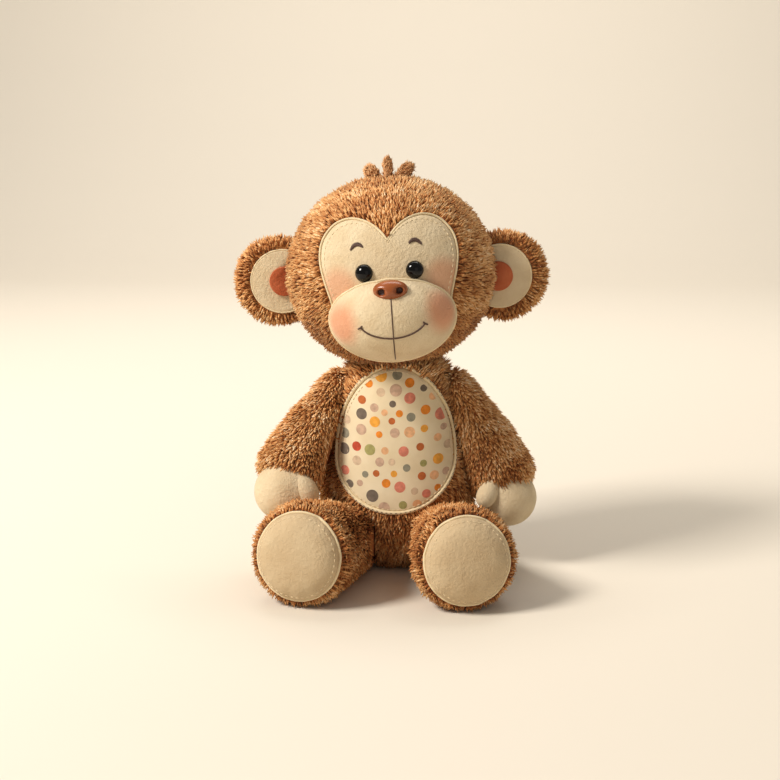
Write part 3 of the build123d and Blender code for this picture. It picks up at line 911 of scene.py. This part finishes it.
def patch(name, rim, middle, towards, surface, rise, crown=0.0, sunk=0.0004):
    """rim: points round the edge; towards: the way out of the cloth; rise: how thick the cloth lies."""
    towards = Vector(towards).normalized()
    spokes, verts = len(rim), []
    for t in RINGS + (0.0,):
        height = -sunk + (rise + sunk) * min(1.0, (1 - t) / 0.035) ** 0.5 + crown * (1 - t * t)
        for p in (rim if t > 0 else rim[:1]):
            start = Vector(middle) + (Vector(p) - Vector(middle)) * t
            hit, normal, _, _ = surface.ray_cast(start + towards * 0.08, -towards)
            if hit is None:
                hit, normal, _, _ = surface.find_nearest(start)
            verts.append(hit + (normal * 0.6 + towards * 0.4).normalized() * height)
    faces = []
    for k in range(len(RINGS) - 1):
        for i in range(spokes):
            j = (i + 1) % spokes
            faces.append((k * spokes + i, k * spokes + j, (k + 1) * spokes + j, (k + 1) * spokes + i))
    last = (len(RINGS) - 1) * spokes
    faces += [(last + i, last + (i + 1) % spokes, len(verts) - 1) for i in range(spokes)]
    obj = new_mesh(name, verts, faces)
    only(obj)
    bpy.ops.object.mode_set(mode="EDIT")
    bpy.ops.mesh.select_all(action="SELECT")
    bpy.ops.mesh.normals_make_consistent(inside=False)
    bpy.ops.object.mode_set(mode="OBJECT")
    _, normals = faces_of(obj)
    if (normals @ np.array(towards)).sum() < 0:
        obj.data.flip_normals()
    apply_modifier(obj, "SOLIDIFY", thickness=0.0008, offset=-1.0)
    smooth_shaded(obj)
    return obj


# %% The face patch
def face_rim(count=160):
    """The heart-like outline in the head's own frame."""
    angles = np.linspace(-math.pi, math.pi, count, endpoint=False)
    reach = np.interp(np.abs(angles), FACE_ANGLES, FACE_REACH)
    return [(r * math.sin(a), -0.05, FACE_HEART + r * math.cos(a)) for a, r in zip(angles, reach)]


FACE_MIDDLE = HEAD @ Vector((0, -0.05, 0.213))
HEAD_FRONT = HEAD.to_3x3() @ Vector((0, -1, 0))
head_surface, torso_surface = surface_of(head), surface_of(torso)
rim = [HEAD @ Vector(p) for p in face_rim()]
face = patch("face_patch_cloth", rim, FACE_MIDDLE, HEAD_FRONT, head_surface, 0.0016)
face_velour = finish("face velour", CREAM, 0.9, **VELOUR_SHEEN)
colour = uneven_dye(face_velour, CREAM, CREAM_SHADE, 70.0).outputs["Color"]
velour_nap(face_velour)
for place in ((-0.0350, -0.062, 0.2120), (0.0360, -0.060, 0.2145)):
    colour = add_blush(face_velour, colour, HEAD @ Vector(place), 0.020, 0.45)
face.data.materials.append(face_velour)
done(face, "head", "cream_plush", "face_patch")


# %% [markdown]
# ## The tummy
#
# The tummy is printed cotton: round dots of many sizes and colours on a cream ground. Each dot is a thin
# film of its own, thrown at a random place from a fixed seed and thrown again if it lands too near another.
# It is dropped straight back on the cloth, so it looks round from the front.

# %% Cotton ground and inks
DOT_DYES = [(222, 130, 36), (226, 156, 56), (182, 96, 44), (186, 70, 44), (208, 124, 100), (226, 172, 124),
            (196, 162, 136), (138, 132, 112), (110, 96, 82), (160, 152, 92), (116, 110, 52), (206, 178, 146)]

DOT_SHARES = [6, 5, 4, 1, 5, 6, 7, 6, 4, 2, 1, 4]          # how often each ink is used


def woven(material, pitch=900.0):
    """A plain weave: two crossed sets of ridges in a fine bump."""
    shader = material.node_tree.nodes["Principled BSDF"]
    both = add_node(material, "ShaderNodeMath", operation="ADD")
    for i, bands in enumerate("XZ"):
        ridges = add_node(material, "ShaderNodeTexWave", Scale=pitch, Distortion=0.6, bands_direction=bands)
        link(material, object_place(material), ridges.inputs["Vector"])
        link(material, ridges.outputs["Fac"], both.inputs[i])
    bump = add_node(material, "ShaderNodeBump", Strength=0.25, Distance=0.0003)
    link(material, both.outputs[0], bump.inputs["Height"])
    link(material, bump.outputs["Normal"], shader.inputs["Normal"])


cotton = finish("cotton ground", dye(230, 212, 176), 0.85, Sheen_Weight=0.2, Specular_IOR_Level=0.3)
uneven_dye(cotton, dye(232, 215, 181), dye(220, 200, 162), 60.0)
woven(cotton)
inks = []
for ink in DOT_DYES:
    material = finish(f"ink {len(inks)}", dye(*ink), 0.85, Sheen_Weight=0.2, Specular_IOR_Level=0.3)
    uneven_dye(material, dye(*(min(255, c * 1.06 + 4) for c in ink)), dye(*(c * 0.90 for c in ink)), 320.0)
    woven(material)
    inks.append(material)


# %% The tummy patch and its piping
def egg_rim(wide, low, high, count=120):
    rim = []
    for i in range(count):
        angle = 2 * math.pi * i / count
        up = math.cos(angle)
        rim.append(Vector((wide * math.sin(angle), -0.04, PATCH_MIDDLE + up * (high if up > 0 else low))))
    return rim


TUMMY_MIDDLE = Vector((0, -0.04, 0.090))
rim = egg_rim(PATCH_WIDE, PATCH_LOW, PATCH_HIGH)
tummy = patch("tummy_patch_cloth", rim, TUMMY_MIDDLE, (0, -1, 0), torso_surface, 0.0013, crown=0.0006)
tummy.data.materials.append(cotton)
done(tummy, "torso", "dotted_cotton", "tummy_patch")


def scatter_dots(seed=7):
    """Dots thrown on the egg one by one; one that lands too near another is thrown again."""
    rng = np.random.default_rng(seed)
    dots = []
    for _ in range(9000):
        x, z = rng.uniform(-PATCH_WIDE, PATCH_WIDE), PATCH_MIDDLE + rng.uniform(-PATCH_LOW, PATCH_HIGH)
        size = 0.0023 + 0.0026 * rng.beta(1.2, 1.7)
        inside = in_tummy_patch(np.array([(x, -0.04, z)]), -0.0026)[0]
        if inside and all(math.hypot(x - a, z - b) > size + c + 0.0025 for a, b, c, _ in dots):
            near_inks = {d[3] for d in dots if math.hypot(x - d[0], z - d[1]) < 0.018}
            free = [k for k in range(len(DOT_DYES)) if k not in near_inks] or list(range(len(DOT_DYES)))
            share = np.array([DOT_SHARES[k] for k in free], dtype=float)
            dots.append((x, z, size, int(rng.choice(free, p=share / share.sum()))))
    return dots


def kept_inside(point, edge=0.955):
    """Where a dot runs over the edge of the patch, its outline follows the edge."""
    x, y, z = point
    reach = PATCH_HIGH if z > PATCH_MIDDLE else PATCH_LOW
    out = math.hypot(x / PATCH_WIDE, (z - PATCH_MIDDLE) / reach) / edge
    return point if out <= 1 else (x / out, y, PATCH_MIDDLE + (z - PATCH_MIDDLE) / out)


def print_dots(surface, spokes=28):
    """Each dot is a thin round film of ink that follows the cloth."""
    verts, faces, shades = [], [], []
    for x, z, size, shade in scatter_dots():
        first = len(verts)
        ring = [(x + t * size * math.sin(2 * math.pi * i / spokes), -0.04,
                 z + t * size * math.cos(2 * math.pi * i / spokes))
                for t in (1.0, 0.5) for i in range(spokes)]
        ring = [kept_inside(p) for p in ring]
        places, _ = drop_on(ring + [(x, -0.04, z)], (0, -1, 0), surface, 0.00007)
        verts += places
        for i in range(spokes):
            j = (i + 1) % spokes
            faces += [(first + i, first + j, first + spokes + j, first + spokes + i),
                      (first + spokes + i, first + spokes + j, first + 2 * spokes)]
            shades += [shade, shade]
    obj = new_mesh("tummy_print", verts, faces)
    for ink in inks:
        obj.data.materials.append(ink)
    obj.data.polygons.foreach_set("material_index", np.array(shades, dtype=np.int32))
    _, normals = faces_of(obj)
    if normals[:, 1].sum() > 0:
        obj.data.flip_normals()
    apply_modifier(obj, "SOLIDIFY", thickness=0.0001, offset=-1.0)
    only(obj)
    bpy.ops.object.shade_smooth_by_angle(angle=math.radians(30))
    return obj


def drop_on(points, towards, surface, rise):
    """Points dropped on a surface and raised off it, with the surface's normals."""
    towards = Vector(towards).normalized()
    places, normals = [], []
    for p in points:
        hit, normal, _, _ = surface.ray_cast(Vector(p) + towards * 0.08, -towards)
        if hit is None:
            hit, normal, _, _ = surface.find_nearest(Vector(p))
        places.append(hit + normal * rise)
        normals.append(normal)
    return places, normals


done(print_dots(surface_of(tummy)), "torso", "dotted_cotton")


def tube(name, path, radius, closed=True, sides=4):
    """A round cord of cloth or thread: a curve with a bevel, made a mesh."""
    data = bpy.data.curves.new(name, "CURVE")
    data.dimensions = "3D"
    data.bevel_depth = radius
    data.bevel_resolution = sides
    data.use_fill_caps = not closed
    spline = data.splines.new("POLY")
    spline.points.add(len(path) - 1)
    for point, p in zip(spline.points, path):
        point.co = (*p, 1)
    spline.use_cyclic_u = closed
    obj = bpy.data.objects.new(name, data)
    bpy.context.scene.collection.objects.link(obj)
    only(obj)
    bpy.ops.object.convert(target="MESH")
    obj = bpy.context.object
    smooth_shaded(obj)
    return obj


path, _ = drop_on(egg_rim(PATCH_WIDE + 0.0003, PATCH_LOW + 0.0003, PATCH_HIGH + 0.0003), (0, -1, 0),
                  torso_surface, 0.0012)
piping = tube("tummy_piping", path, 0.0014)
piping.data.materials.append(piping_cloth)
done(piping, "torso", "cream_piping", "tummy_trim")


# %% Stitches along a line
def model_stitch():
    only_nothing()
    bpy.ops.mesh.primitive_uv_sphere_add(segments=6, ring_count=5, radius=0.5)
    stitch = bpy.context.object
    bpy.ops.object.mode_set(mode="EDIT")
    bpy.ops.mesh.quads_convert_to_tris()
    bpy.ops.object.mode_set(mode="OBJECT")
    return take_shape(stitch)


STITCH = model_stitch()


def stitched(name, path, normals, length, gap, width, closed=False, slant=0.0, taper=0.0, material=None):
    """A running stitch: one thread bead at each step along the path, lying along it or turned by slant."""
    line = np.array([tuple(p) for p in path])
    ups = np.array([tuple(n) for n in normals])
    if closed:
        line, ups = np.vstack([line, line[:1]]), np.vstack([ups, ups[:1]])
    run = np.concatenate([[0], np.cumsum(np.linalg.norm(np.diff(line, axis=0), axis=1))])
    count = max(1, int(run[-1] / (length + gap)))
    at = (np.arange(count) + 0.5) * run[-1] / count
    def along(values, where):
        return np.stack([np.interp(where, run, values[:, k]) for k in range(3)], axis=1)
    step = run[-1] / count * 0.3
    centres, up = along(line, at), along(ups, at)
    way = along(line, at + step) - along(line, at - step)
    way /= np.linalg.norm(way, axis=1)[:, None]
    up /= np.linalg.norm(up, axis=1)[:, None]
    side = np.cross(up, way)
    turned = way * math.cos(slant) + side * math.sin(slant)
    axes = np.stack([turned, np.cross(up, turned), up], axis=1)
    sizes = np.tile((length, width, width), (count, 1))
    sizes[:, 0] *= 1 - taper * np.abs(np.linspace(-1, 1, count)) ** 2
    obj = copies(name, STITCH, centres, axes, sizes)
    if material:
        obj.data.materials.append(material)
    return obj


# %% Stitches round the patches
def rim_stitches(name, rim, middle, inset, towards, surface, rise, body, slot, material, *stands_for):
    places = [Vector(middle) + (Vector(p) - Vector(middle)) * inset for p in rim]
    path, normals = drop_on(places, towards, surface, rise)
    obj = stitched(name, path, normals, 0.0026, 0.0011, 0.0006, closed=True, material=material)
    return done(obj, body, slot, *stands_for)


rim = egg_rim(PATCH_WIDE, PATCH_LOW, PATCH_HIGH)
rim_stitches("tummy_topstitch", rim, TUMMY_MIDDLE, 0.955, (0, -1, 0), surface_of(tummy), 0.0002,
             "torso", "thread", thread_cream)
path, normals = drop_on(egg_rim(PATCH_WIDE + 0.0003, PATCH_LOW + 0.0003, PATCH_HIGH + 0.0003), (0, -1, 0),
                        torso_surface, 0.0026)
done(stitched("piping_stitches", path, normals, 0.0018, 0.0016, 0.0005, closed=True, material=thread_brown),
     "torso", "thread")

rim = [HEAD @ Vector(p) for p in face_rim()]
rim_stitches("face_topstitch", rim, FACE_MIDDLE, 0.945, HEAD_FRONT, surface_of(face), 0.0001,
             "head", "thread", thread_cream)
path, _ = drop_on(rim, HEAD_FRONT, head_surface, 0.0010)
edge = tube("face_piping", path, 0.0008)
edge.data.materials.append(piping_cloth)
done(edge, "head", "cream_piping")


# %% Muzzle rim
def muzzle_rim(count=120):
    """Where the muzzle meets the head: out along each angle until its cloth sinks into the head's."""
    muzzle_tree, head_tree = surface_of(muzzle), surface_of(face)
    centre, rim = HEAD @ Vector((0, -0.068, 0.1895)), []
    for i in range(count):
        angle = 2 * math.pi * i / count
        way = HEAD.to_3x3() @ Vector((math.sin(angle), 0, math.cos(angle)))
        last = None
        for step in range(20, 60):
            start = centre + way * step * MM + HEAD_FRONT * 0.08
            on_muzzle = muzzle_tree.ray_cast(start, -HEAD_FRONT)
            on_head = head_tree.ray_cast(start, -HEAD_FRONT)
            if on_head[0] is None:
                on_head = head_surface.ray_cast(start, -HEAD_FRONT)
            if on_muzzle[0] is None or (on_head[0] is not None and on_head[3] < on_muzzle[3] + 0.0006):
                break
            last = on_muzzle[0] + on_muzzle[1] * 0.0002
        rim.append(last)
    co = np.array([tuple(p) for p in rim])
    for _ in range(6):
        co = (np.roll(co, 1, axis=0) + 2 * co + np.roll(co, -1, axis=0)) / 4
    return [Vector(p) for p in co]


edge = tube("muzzle_piping", muzzle_rim(), 0.0009)
edge.data.materials.append(piping_cloth)
done(edge, "head", "cream_piping")

# %% [markdown]
# ## Eyes, nose and mouth
#
# The eyes are glossy domes locked through the cloth, and their shape in the model is already right, so they
# only get their finish. The nose is moulded with two nostrils: a ball with two dents pushed in. The mouth and
# the muzzle's middle seam are sewn with a heavy thread, and each brow is a row of satin stitches.

# %% Eyes
for name in SIDES:
    frame["nodes"][f"eye_{name}"].data.materials.clear()
    frame["nodes"][f"eye_{name}"].data.materials.append(eye_gloss)


# %% Nose
def make_nose():
    middle = HEAD @ Vector((0.0, -0.0800, 0.2108))
    only_nothing()
    bpy.ops.mesh.primitive_uv_sphere_add(segments=72, ring_count=48, radius=1.0)
    nose = bpy.context.object
    nose.name = "nose_moulded"
    co = points_of(nose) * np.array((0.0116, 0.0080, 0.0070))
    co[:, 0] *= 1.0 + 12.0 * co[:, 2]
    dents = np.zeros(len(co))
    for side in (-1, 1):
        far = np.hypot((co[:, 0] - side * 0.0060) / 0.0026, (co[:, 2] - 0.0003 * side) / 0.0023)
        dents = np.maximum(dents, np.exp(-far ** 4) * (co[:, 1] < 0))
    co[:, 1] += dents * 0.0036
    set_points(nose, to_frame(co, Matrix.Translation(middle) @ HEAD.to_3x3().to_4x4()))
    nose.data.materials.append(nose_gloss)
    nose.data.materials.append(nostril)
    # The deepest faces of the dents take the dark nostril brown: painted shade.
    deep = np.array([dents[list(p.vertices)].mean() for p in nose.data.polygons]) > 0.45
    nose.data.polygons.foreach_set("material_index", deep.astype(np.int32))
    smooth_shaded(nose)
    return nose


done(make_nose(), "head", "nose_brown", "nose")


# %% Mouth and seam
def face_line(points, count, surface, rise):
    """A smooth line through three or more (x, z) places on the front of the head, dropped on a surface."""
    way = np.linspace(0, 1, len(points))
    at = np.linspace(0, 1, count)
    curve = np.array([np.polyval(np.polyfit(way, [p[k] for p in points], len(points) - 1), at)
                      for k in (0, 1)])
    places = [HEAD @ Vector((x, -0.09, z)) for x, z in curve.T]
    return drop_on(places, HEAD_FRONT, surface, rise)


muzzle_surface, face_surface = surface_of(muzzle), surface_of(face)
SMILE = [(-0.0212, 0.1880), (-0.0125, 0.1820), (0.0, 0.1798), (0.0125, 0.1820), (0.0212, 0.1880)]
path, normals = face_line(SMILE, 60, muzzle_surface, 0.0002)
smile = tube("smile_thread", path, 0.0006, closed=False)
smile.data.materials.append(thread_brown)
done(smile, "head", "thread", "mouth_stitching")
done(stitched("smile_stitches", path, normals, 0.0026, 0.0003, 0.0013, material=thread_brown),
     "head", "thread")
for side, name in ((-1, "right"), (1, "left")):
    path, normals = face_line([(side * 0.0202, 0.1892), (side * 0.0214, 0.1880), (side * 0.0230, 0.1872)], 12,
                              muzzle_surface, 0.0003)
    tick = tube(f"smile_end_{name}", path, 0.0006, closed=False)
    tick.data.materials.append(thread_brown)
    done(tick, "head", "thread")
MUZZLE_SEAM = [(0.0, 0.2060), (0.0, 0.1900), (0.0, 0.1750), (0.0, 0.1630)]
path, normals = face_line(MUZZLE_SEAM, 60, muzzle_surface, 0.0)
seam = tube("muzzle_seam", path, 0.00042, closed=False)
seam.data.materials.append(thread_brown)
done(seam, "head", "thread")


# %% Brows
BROWS = {"left": [(0.0142, 0.2400), (0.0184, 0.2420), (0.0226, 0.2386)],
         "right": [(-0.0168, 0.2394), (-0.0210, 0.2414), (-0.0252, 0.2378)]}
for name, points in BROWS.items():
    path, normals = face_line(points, 40, face_surface, 0.0003)
    brow = stitched(f"brow_stitches_{name}", path, normals, 0.0036, -0.0031, 0.0009, slant=1.2, taper=0.6,
                    material=thread_brown)
    done(brow, "head", "thread", f"brow_{name}")

# %% [markdown]
# ## Ears
#
# Each ear is a stuffed disc of plush with a cream lining let into its front and a terracotta dot sewn on the
# lining. The pile on an ear points outwards all round, which makes its soft edge.

# %% Ears
def ear_place(name, x=0.0, z=0.0, y=0.0):
    return EARS @ Vector((SIDES[name] * (0.0818 + x), 0.004 + y, 0.211 + z))


def ear_rim(name, shift, radius, count=72):
    """A circle on the ear's front, kept off the head."""
    rim = []
    for i in range(count):
        angle = 2 * math.pi * i / count
        x, z = 0.0818 + shift + radius * math.cos(angle), 0.211 + radius * math.sin(angle)
        head_edge = 0.0740 * math.sqrt(max(0.0, 1 - ((z - 0.2143) / 0.0690) ** 2))
        rim.append(EARS @ Vector((SIDES[name] * max(x, head_edge), -0.01, z)))
    return rim


def out_from_the_ear(name):
    def brushing(points, normals):
        middle = np.array(ear_place(name))
        return points - middle
    return brushing


def ear_pile(name):
    def keep(sites, normals):
        own = to_frame(sites, EARS.inverted())
        x = SIDES[name] * own[:, 0]
        on_lining = (np.hypot(x - 0.0788, own[:, 2] - 0.211) < 0.0224) & (own[:, 1] < 0.0)
        head_edge = 0.0715 * np.sqrt(np.clip(1 - ((own[:, 2] - 0.2143) / 0.066) ** 2, 0, 1))
        return ~on_lining & (x > head_edge - 0.001)
    return keep


for i, name in enumerate(SIDES):
    ear = outer_cloth(f"ear_cloth_{name}", f"ear_skin_{name}", ear_place(name), 0.0020)
    ear_coat = coat(f"ear_pile_{name}", ear, out_from_the_ear(name), 40 + i, ear_pile(name))
    done(ear_coat, f"ear_{name}", "brown_plush")
    finish_body(ear, f"ear_{name}", "brown_plush", backing, 0.6, f"ear_skin_{name}")
    surface = surface_of(ear)
    rim, middle = ear_rim(name, -0.003, 0.0226), ear_place(name, 0.004, 0, -0.01)
    lining = patch(f"ear_lining_cloth_{name}", rim, middle, HEAD_FRONT, surface, 0.0016, crown=0.0010)
    lining.data.materials.append(velour)
    done(lining, f"ear_{name}", "cream_plush", f"ear_lining_{name}")
    path, _ = drop_on(rim, HEAD_FRONT, surface, 0.0010)
    edge = tube(f"ear_piping_{name}", path, 0.0007)
    edge.data.materials.append(piping_cloth)
    done(edge, f"ear_{name}", "cream_piping")
    rim, middle = ear_rim(name, -0.0045, 0.0108), ear_place(name, -0.0015, 0, -0.01)
    dot = patch(f"ear_dot_cloth_{name}", rim, middle, HEAD_FRONT, surface_of(lining), 0.0014, crown=0.0006)
    dot.data.materials.append(terracotta)
    done(dot, f"ear_{name}", "ear_dot", f"ear_dot_{name}")

# %% [markdown]
# ## Soles and seat
#
# The soles are cream velour ovals, sewn round the end of each leg and puffed out by the stuffing behind them.
# The panel under the seat is flat woven cloth, so that the toy sits still.

# %% Soles
SOLE_WIDE, SOLE_HIGH = 0.0278, 0.0288


def sole_rim(name, grow=1.0, count=96):
    middle, out, across, up = sole_frame(name)
    rim = []
    for i in range(count):
        angle = 2 * math.pi * i / count
        place = SOLE_WIDE * math.cos(angle) * across + SOLE_HIGH * math.sin(angle) * up
        rim.append(Vector(middle + grow * place))
    return rim, Vector(middle), Vector(out)


for name in SIDES:
    rim, middle, out = sole_rim(name)
    sole = patch(f"sole_cloth_{name}", rim, middle, out, surface_of(legs[name]), 0.0022, crown=0.0045)
    sole.data.materials.append(sole_velour_painted_shade)
    done(sole, f"leg_{name}", "cream_plush", f"sole_{name}")
    rim_stitches(f"sole_topstitch_{name}", rim, middle, 0.935, out, surface_of(sole), 0.0001,
                 f"leg_{name}", "thread", thread_cream)
    path, normals = drop_on(rim, out, surface_of(legs[name]), 0.0010)
    edge = tube(f"sole_piping_{name}", path, 0.0010)
    edge.data.materials.append(piping_cloth)
    done(edge, f"leg_{name}", "cream_piping")

# %% Panel under the seat
only_nothing()
bpy.ops.mesh.primitive_circle_add(vertices=64, radius=1.0, fill_type="NGON")
panel = bpy.context.object
panel.name = "seat_panel_cloth"
co = points_of(panel)
set_points(panel, co * np.array((0.0245, 0.0195, 1.0)))
bpy.ops.object.mode_set(mode="EDIT")
bpy.ops.mesh.select_all(action="SELECT")
bpy.ops.mesh.inset(thickness=0.0012)
bpy.ops.mesh.inset(thickness=0.0080)
bpy.ops.mesh.select_all(action="SELECT")
bpy.ops.mesh.extrude_region_move(TRANSFORM_OT_translate={"value": (0, 0, 0.0016)})
bpy.ops.mesh.select_all(action="SELECT")
bpy.ops.mesh.normals_make_consistent(inside=False)
bpy.ops.object.mode_set(mode="OBJECT")
seat_cloth = finish("seat panel cloth", PILE_SHADES[1], 0.95)
uneven_dye(seat_cloth, PILE_SHADES[2], PILE_SHADES[0], 400.0)
fine_bump(seat_cloth, 2400.0, 0.0003)
panel.data.materials.append(seat_cloth)
smooth_shaded(panel)
done(panel, "torso", "base_cloth", "base_panel")

# %% [markdown]
# ## Hair and the parts inside
#
# Three short petals of pile stand on the crown. Inside, a small bag of pellets gives the seat its weight, and
# plastic discs with lock washers hold the head and limbs; the discs and washers keep their exact shapes from
# the model. The fibre isn't drawn, because the closed skins stand for it and hide it.

# %% Hair tuft
PETALS = [(-0.0042, -34, 0.0150, 0.0058), (0.0026, 3, 0.0180, 0.0042), (0.0075, 50, 0.0185, 0.0056)]


def make_petal(x, lean, long, half_width):
    """A drop-shaped tongue of pile: a ball drawn out, narrowed at its root and bent over at its tip."""
    only_nothing()
    bpy.ops.mesh.primitive_uv_sphere_add(segments=24, ring_count=16, radius=1.0)
    petal = bpy.context.object
    co = points_of(petal).copy()
    up = (co[:, 2] + 1) / 2
    co[:, 0] *= half_width * (0.45 + 0.62 * up)
    co[:, 1] *= 0.0026 * (0.7 + 0.3 * up)
    co[:, 2] = up * long - 0.0025
    co[:, 1] -= 0.0018 * up ** 2
    root = Matrix.Translation((x, -0.007, 0.2812 - abs(x) * 0.12))
    turn = root @ Matrix.Rotation(math.radians(lean), 4, "Y")
    set_points(petal, to_frame(co, HEAD @ turn))
    only(petal)
    bpy.ops.object.mode_set(mode="EDIT")
    bpy.ops.mesh.select_all(action="SELECT")
    bpy.ops.mesh.normals_make_consistent(inside=False)
    bpy.ops.object.mode_set(mode="OBJECT")
    return petal, np.array((HEAD @ turn).to_3x3() @ Vector((0, 0, 1)))


for i, (x, lean, long, half_width) in enumerate(PETALS):
    petal, up = make_petal(x, lean, long, half_width)
    petal.name = f"hair_petal_{i + 1}"
    centres, normals = even_sites(petal, 0.0009)
    pile = plant(f"hair_pile_{i + 1}", centres, normals, np.tile(up, (len(centres), 1)), length=0.0042,
                 width=0.0011, lift=9, dyes=tan_dyes, seed=50 + i, bias=0.12)
    done(pile, "head", "tan_pile")
    petal.data.materials.append(tan_dyes[1])
    smooth_shaded(petal)
    done(petal, "head", "tan_pile", *(["hair_tuft"] if i == 1 else []))

# %% Pellet bag
bag_cloth = finish("pellet bag cotton", dye(226, 222, 208), 0.9)
uneven_dye(bag_cloth, dye(232, 228, 214), dye(208, 203, 188), 300.0)
fine_bump(bag_cloth, 260.0, 0.0015, 1.0)
bag = outer_cloth("pellet_bag_cloth", "pellet_bag", (0.0, 0.0195, 0.020), 0.0025)
finish_body(bag, "torso", "pellets", bag_cloth, 0.5, "pellet_bag")

# %% Plastic joints
HARDWARE = [n for n in frame["nodes"] if n.endswith(("washer", "disc")) or "washer_" in n or "disc_" in n]
for node in HARDWARE:
    frame["nodes"][node].data.materials.clear()
    frame["nodes"][node].data.materials.append(joint_plastic)
print("plastic pieces:", len(HARDWARE))

# %% [markdown]
# ## Floor and light
#
# A pale floor that curves up behind the toy, one large warm light high on the left, weak ones on the right
# and behind to outline the pile, and one on the wall.

# %% Floor
only_nothing()
bpy.ops.mesh.primitive_plane_add(size=1.0, location=(0, 0, 0))
floor = bpy.context.object
floor.name = "floor"
set_points(floor, points_of(floor) * np.array((9.0, 4.4, 1.0)) + np.array((0, -0.2, 0)))
bpy.ops.object.mode_set(mode="EDIT")
bpy.ops.mesh.select_all(action="DESELECT")
bpy.ops.mesh.select_mode(type="EDGE")
bpy.ops.object.mode_set(mode="OBJECT")
for edge in floor.data.edges:
    edge.select = all(floor.data.vertices[v].co.y > 1.9 for v in edge.vertices)
bpy.ops.object.mode_set(mode="EDIT")
for step in range(8):
    turn = math.radians(90 * (step + 0.5) / 8)
    bpy.ops.mesh.extrude_region_move(
        TRANSFORM_OT_translate={"value": (0, 0.25 * math.cos(turn), 0.25 * math.sin(turn))})
bpy.ops.mesh.extrude_region_move(TRANSFORM_OT_translate={"value": (0, 0, 3.0)})
bpy.ops.object.mode_set(mode="OBJECT")
floor_paint = finish("floor paint", dye(226, 217, 202), 0.95, Specular_IOR_Level=0.1)
floor.data.materials.append(floor_paint)
smooth_shaded(floor)


# %% Lights
def lamp(name, place, size, power, colour, at=(0, 0, 0.14)):
    only_nothing()
    bpy.ops.object.light_add(type="AREA", location=place)
    light = bpy.context.object
    light.name = name
    light.rotation_euler = (Vector(at) - Vector(place)).to_track_quat("-Z", "Y").to_euler()
    light.data.size = size
    light.data.energy = power
    light.data.color = colour


lamp("window light", (-1.50, -0.84, 1.62), 0.62, 58.0, (1.0, 0.95, 0.885))
lamp("fill light", (0.70, -1.30, 0.50), 0.9, 0.7, (1.0, 0.93, 0.86))
lamp("rim light", (0.45, 1.00, 0.95), 0.6, 0.6, (1.0, 0.95, 0.88))
lamp("wall light", (0.0, 1.0, 2.4), 1.8, 52.0, (1.0, 0.97, 0.93), at=(0, 2.4, 0.9))
world = bpy.data.worlds.new("room")
world.use_nodes = True
world.node_tree.nodes["Background"].inputs[0].default_value = (0.90, 0.86, 0.80, 1)
world.node_tree.nodes["Background"].inputs[1].default_value = 0.33
bpy.context.scene.world = world
bpy.context.scene.view_settings.view_transform = "Standard"
